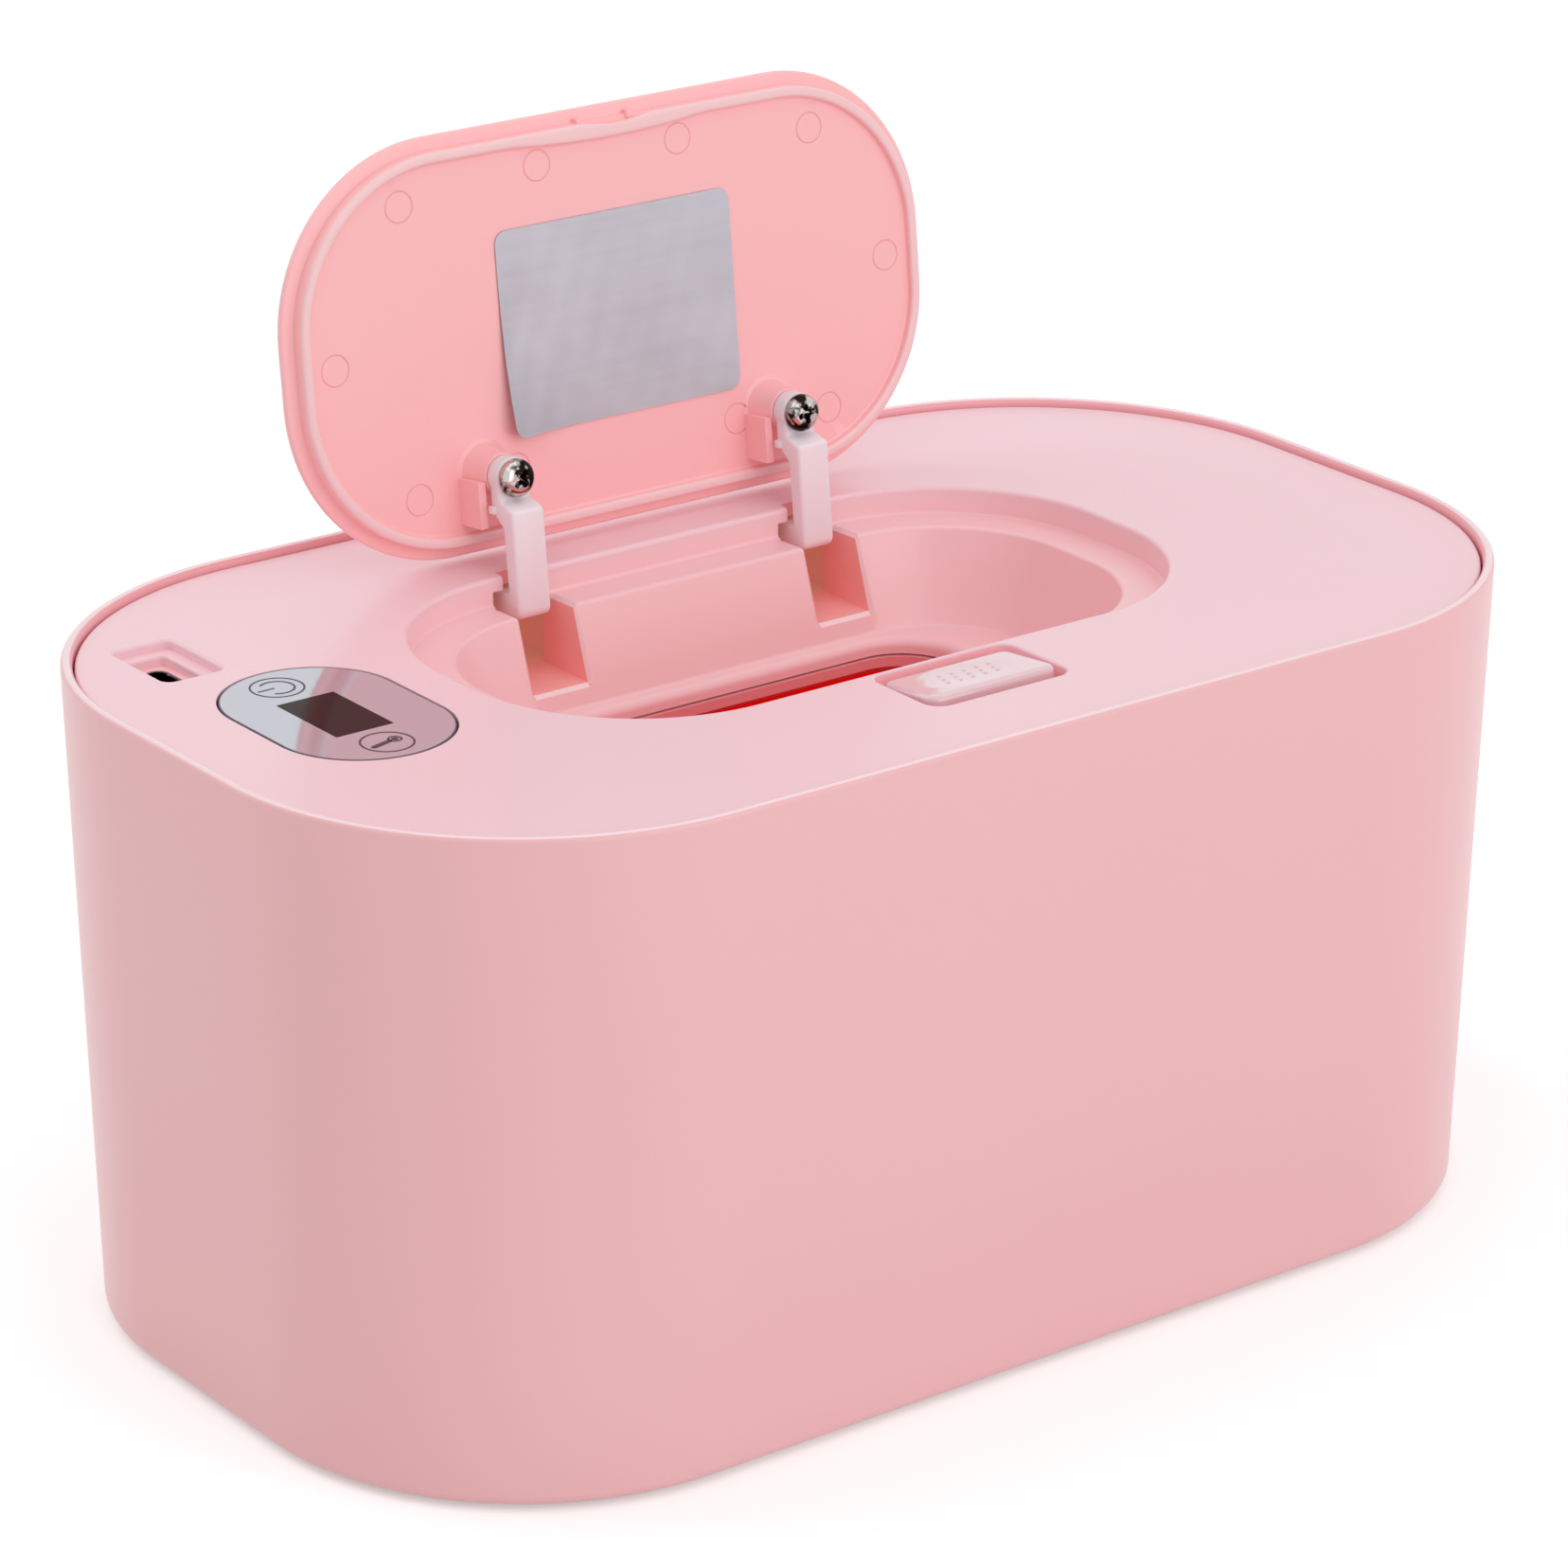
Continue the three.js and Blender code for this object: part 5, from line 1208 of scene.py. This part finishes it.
# A printed straight line with round ends
def stroke(name, x0, y0, x1, y1, width):
    turn = math.atan2(y1 - y0, x1 - x0)
    half = width / 2
    loop = [(x1 + half * math.cos(a), y1 + half * math.sin(a))
            for a in (turn - quarter + math.pi * step / 8 for step in range(9))]
    loop += [(x0 + half * math.cos(a), y0 + half * math.sin(a))
             for a in (turn + quarter + math.pi * step / 8 for step in range(9))]
    return ringSolid(name, [(plateTop - 0.1, loop), (plateTop + 0.03, loop)])


def makeMarks():
    x, y = display["x"] - keys["powerLeft"], display["y"] + keys["powerBack"]
    power = [
        flatRing("ring", x, y, 3.95, keys["ring"]),
        flatRing("arc", x, y, 2.55, keys["line"], -0.36, 0.36),
        stroke("bar", x - 3.1, y, x - 0.6, y, keys["line"]),
    ]
    x, y = display["x"] - keys["heatLeft"], display["y"] - keys["heatFront"]
    heat = [
        flatRing("ring", x, y, 3.85, keys["ring"]),
        flatRing("bulb", x + 1.55, y + 0.4, 0.95, 0.34),
        flatRing("core", x + 1.55, y + 0.4, 0.3, 0.5),
        stroke("stem", x + 0.4, y + 0.1, x - 2.6, y - 0.65, 0.95),
    ]
    for name, strokes in (("powerMark", power), ("heatMark", heat)):
        piece = together(strokes, name)
        smooth(piece)
        paint(piece, "lensMark")
        settle(piece, "cover")


makeLens()
makeMarks()
print("display ready")


# Charging socket

tube = {"deep": 7.2, "tongueX": 0.35, "tongueY": 3.35, "tongueFoot": 0.65, "tongueTip": 5.25}


def makeSocket():
    x, y, top = socket["x"], socket["y"], socket["floor"]
    bottom = top - tube["deep"]

    def loop(z, halfX, halfY):
        return z, roundedLoop(x, y, halfX, halfY, halfX - 0.02, 10)

    piece = ringSolid("usbShell", [
        loop(bottom, 1.5, 4.35), loop(bottom + 0.15, 1.65, 4.5), loop(top - 0.1, 1.65, 4.5),
        loop(top, 1.55, 4.4), loop(top, 1.38, 4.23), loop(top - 0.12, 1.3, 4.15),
        loop(bottom + 0.35, 1.3, 4.15),
    ])
    smooth(piece)
    paint(piece, "chromePaintedReflection")
    settle(piece, "cover", ["usb_socket"])
    tongue = block("usbTongue", x - tube["tongueX"], x + tube["tongueX"], y - tube["tongueY"],
                   y + tube["tongueY"], bottom + tube["tongueFoot"], bottom + tube["tongueTip"])
    softenEdges(tongue, 0.12, 30, 2)
    smooth(tongue)
    paint(tongue, "blackPlastic")
    settle(tongue, "cover", ["usb_tongue"])


makeSocket()
print("socket ready")


# Chamber: the coral wipe box, its foam sleeve and the seal round its top

box = {"inset": 7.6, "wall": 1.8, "edge": 4, "bottom": 6.9, "top": 75.2, "flange": 3.3}
foamBand = {"low": 2.9, "high": 73.1, "outer": 3.3, "inner": 7.3, "soft": 0.6}
# Height and inset of each corner of the seal, from its outer lip round
sealSection = [(75.5, 6.2), (75.8, 4.9), (77.9, 4.9), (77.9, 9.1), (75.8, 9.1), (75.5, 7.8)]


def makeChamber():
    edge, inset, wall = box["edge"], box["inset"], box["wall"]
    inner = edge - wall
    rings = [caseRing(box["bottom"] + edge - edge * math.cos(a), inset + edge - edge * math.sin(a))
             for a in turns(6)]
    rings += [caseRing(box["top"] - wall, inset), caseRing(box["top"] - wall, box["flange"]),
              caseRing(box["top"], box["flange"]), caseRing(box["top"], inset + wall)]
    low, side = box["bottom"] + wall + inner, inset + wall + inner
    rings += [caseRing(low - inner * math.cos(a), side - inner * math.sin(a))
              for a in turnsBack(6)]
    piece = ringSolid("wipeBox", rings)
    smooth(piece)
    paint(piece, "coralRedGlow")
    settle(piece, "case", ["wipe_box"])
    low, high, outer, inside, soft = foamBand.values()
    foam = ringSolid("foamSleeve", [
        caseRing(low, outer + soft), caseRing(low + soft, outer), caseRing(high - soft, outer),
        caseRing(high, outer + soft), caseRing(high, inside - soft), caseRing(high - soft, inside),
        caseRing(low + soft, inside), caseRing(low, inside - soft),
    ], hollow=True)
    smooth(foam)
    paint(foam, "whiteFoam")
    settle(foam, "case", ["insulation_sleeve"])
    seal = ringSolid("chamberSeal", [caseRing(z, inset) for z, inset in sealSection], hollow=True)
    smooth(seal, 20)
    paint(seal, "clearSilicone")
    settle(seal, "cover", ["chamber_seal"])


makeChamber()
print("chamber ready")


# Rubber feet with a rounded rim and a shallow dish: radius and height of each ring

footProfile = [(4.6, -0.5), (5.4, -0.66), (5.9, -0.8), (6.4, -0.8), (6.8, -0.62), (7, -0.3), (7, 0.9)]


def makeFeet():
    for name, (x, y) in footPlaces.items():
        rings = [(z, roundedLoop(x, y, radius, radius, radius - 0.001, 10)) for radius, z in footProfile]
        piece = ringSolid(f"foot.{name}", rings)
        smooth(piece, 40)
        paint(piece, "footRubber")
        settle(piece, "case", [f"foot_{name}"])


makeFeet()
print("feet ready")


# Leads: silicone-sheathed wires inside the cover
leads = {
    "heater_lead_front": [(-56, -16, 78.2), (-56, -16, 83), (-60.95, -15, 87.52), (-71.95, -12, 87.52),
                          (-75.95, -11, 92.42)],
    "heater_lead_rear": [(-56, 17, 78.2), (-56, 17, 83), (-60.95, 16, 87.52), (-71.95, 13, 87.52),
                         (-75.95, 12, 92.42)],
    "usb_lead": [(-89, 32, 88.9), (-89, 31, 86.02), (-88.5, 19, 86.02), (-88, 17, 92.42)],
}


# A centripetal curve through the points
def smoothPath(points, steps=14):
    spots = [Vector(point) for point in points]
    spots = [2 * spots[0] - spots[1], *spots, 2 * spots[-1] - spots[-2]]
    path = []
    for a, b, c, d in zip(spots, spots[1:], spots[2:], spots[3:]):
        t1 = (b - a).length ** 0.5
        t2 = t1 + (c - b).length ** 0.5
        t3 = t2 + (d - c).length ** 0.5
        for step in range(steps):
            t = t1 + (t2 - t1) * step / steps
            low = [a.lerp(b, t / t1), b.lerp(c, (t - t1) / (t2 - t1)), c.lerp(d, (t - t2) / (t3 - t2))]
            mid = [low[0].lerp(low[1], t / t2), low[1].lerp(low[2], (t - t1) / (t3 - t1))]
            path.append(mid[0].lerp(mid[1], (t - t1) / (t2 - t1)))
    return [*path, spots[-2]]


def makeLeads():
    for name, points in leads.items():
        piece = wire(f"lead.{name}", smoothPath(points), 0.7)
        smooth(piece, 60)
        paint(piece, "leadSheath")
        settle(piece, "cover", [name])


makeLeads()


# Springs: a coil about Z, with straight ends that leave along the wire
def coilPath(radius, pitch, turns, leg=0, steps=28):
    count = round(turns * steps)
    path = []
    for step in range(count + 1):
        a = 2 * math.pi * turns * step / count
        path.append(Vector((radius * math.cos(a), radius * math.sin(a), pitch * turns * step / count)))
    if leg:
        a = 2 * math.pi * turns
        path.insert(0, path[0] - Vector((0, leg, 0)))
        path.append(path[-1] + leg * Vector((-math.sin(a), math.cos(a), 0)))
    return path


hingeCoil = {"shape": (2, 1.05, 2.667, 3.9), "fromArm": 3.5, "wire": 0.3}
touchCoil = {"shape": (3.4, 1.25, 4), "foot": 94.97, "wire": 0.35,
             "places": {"power": (-82.3, 15.1), "heat": (-81.6, -12.6)}}
latchCoil = {"shape": (2.6, 1.933, 6), "y": -42.45, "foot": 84.97, "wire": 0.35}


def makeSprings():
    for side, x in zip(("left", "right"), armXs):
        path = [Matrix.Rotation(-quarter, 4, "Z") @ spot for spot in coilPath(*hingeCoil["shape"])]
        start = x + hingeCoil["fromArm"]
        path = [(start + spot.z, hinge["y"] + spot.x, hinge["z"] + spot.y) for spot in path]
        finishSpring(f"hingeSpring.{side}", path, hingeCoil["wire"], f"hinge_spring_{side}")
    for name, (x, y) in touchCoil["places"].items():
        path = [(x + spot.x, y + spot.y, touchCoil["foot"] + spot.z)
                for spot in coilPath(*touchCoil["shape"])]
        finishSpring(f"touchSpring.{name}", path, touchCoil["wire"], f"touch_spring_{name}")
    path = [(latch["x"] + spot.x, latchCoil["y"] + spot.y, latchCoil["foot"] + spot.z)
            for spot in coilPath(*latchCoil["shape"])]
    spring = finishSpring("latchSpring", path, latchCoil["wire"], "latch_spring")
    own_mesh(spring)


def finishSpring(name, path, thickness, node):
    piece = wire(name, path, thickness)
    smooth(piece, 60)
    paint(piece, "springSteel")
    return settle(piece, "cover", [node])


makeSprings()
print("leads and springs ready")


# CAD pieces that stay as they are get their finish here
kept = {
    "cover_base": "lipShadePink", "heat_plate": "rosyShadeAlloy", "heater_film": "amberFilm",
    "thermal_fuse": "aluminium", "thermistor": "blackPlastic",
    "hinge_pin_left": "springSteel", "hinge_pin_right": "springSteel",
    "control_board": "boardMask", "display_block": "blackPlastic", "usb_board": "boardMask",
    "latch_pin": "springSteel",
}
for name, look in kept.items():
    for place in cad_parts[name].material_slots:
        place.material = looks[look]
print("kept nodes painted")


# Camera at the photograph's view

view = {
    "place": (-501.32, -659.47, 398.01),
    "forward": (0.56199, 0.74225, -0.36502),
    "right": (0.79806, -0.60257, 0.0034),
    "lens": 134.43,
}


def makeCamera():
    clearSelection()
    bpy.ops.object.camera_add(location=[value * mm for value in view["place"]])
    camera = bpy.context.object
    forward, right = Vector(view["forward"]).normalized(), Vector(view["right"]).normalized()
    up = right.cross(forward)
    turn = Matrix((right, up, -forward)).transposed()
    camera.rotation_euler = turn.to_euler()
    camera.data.lens = view["lens"]
    camera.data.sensor_width = 36
    camera.data.clip_start = 0.01
    bpy.context.scene.camera = camera


# Plain studio: pale floor, white world for what the camera and reflections see, two soft lamps

studio = {
    "world": 0.52,
    "floor": (238, 238, 238),
    "floorGlow": {"near": 0.36, "far": 0.6, "from": 0.5, "to": 2},
    "lamps": [
        {"name": "topSoftbox", "place": (0, 0, 1.4), "aim": (0, 0, 0.05), "size": 2.2, "power": 7},
        {"name": "frontSoftbox", "place": (0.25, -1.6, 0.6), "aim": (0, 0, 0.05), "size": 1.6, "power": 8.8},
        {"name": "rearSoftbox", "place": (-0.8, 1.1, 1.1), "aim": (0, 0, 0.1), "size": 1.2, "power": 4},
    ],
}


def cameraSees(tree):
    path = node(tree, "ShaderNodeLightPath").outputs
    seen = combine(tree, "MAXIMUM", path["Is Camera Ray"], path["Is Glossy Ray"])
    return combine(tree, "MAXIMUM", seen, path["Is Transmission Ray"])


def makeStudio():
    world = bpy.data.worlds.new("studio")
    bpy.context.scene.world = world
    world.use_nodes = True
    tree = world.node_tree
    background = tree.nodes["Background"]
    background.inputs["Color"].default_value = (1, 1, 1, 1)
    strength = node(tree, "ShaderNodeMapRange", {
        "Value": cameraSees(tree), "To Min": studio["world"], "To Max": 1,
    })
    tree.links.new(strength.outputs[0], background.inputs["Strength"])
    clearSelection()
    bpy.ops.mesh.primitive_plane_add(size=12, location=(0, 0, 0))
    floor = bpy.context.object
    floor.name = "paleFloor"
    material = bpy.data.materials.new("paleFloor")
    material.use_nodes = True
    tree = material.node_tree
    shader = tree.nodes["Principled BSDF"]
    shader.inputs["Base Color"].default_value = linear(studio["floor"])
    shader.inputs["Roughness"].default_value = 0.9
    shader.inputs["Specular IOR Level"].default_value = 0
    shader.inputs["Emission Color"].default_value = (1, 1, 1, 1)
    glow = studio["floorGlow"]
    place = node(tree, "ShaderNodeTexCoord").outputs["Object"]
    away = node(tree, "ShaderNodeVectorMath", {0: place}, operation="LENGTH").outputs["Value"]
    strength = node(tree, "ShaderNodeMapRange", {
        "Value": away, "From Min": glow["from"], "From Max": glow["to"],
        "To Min": glow["near"], "To Max": glow["far"],
    })
    seen = combine(tree, "MULTIPLY", cameraSees(tree), strength.outputs[0])
    tree.links.new(seen, shader.inputs["Emission Strength"])
    floor.data.materials.append(material)
    for lamp in studio["lamps"]:
        bpy.ops.object.light_add(type="AREA", location=lamp["place"])
        light = bpy.context.object
        light.name = lamp["name"]
        light.data.size = lamp["size"]
        light.data.energy = lamp["power"]
        toward = Vector(lamp["aim"]) - Vector(lamp["place"])
        light.rotation_euler = toward.to_track_quat("-Z", "Y").to_euler()
    bpy.context.scene.view_settings.view_transform = "Standard"


makeCamera()
makeStudio()
print("studio ready")

bpy.context.view_layer.update()
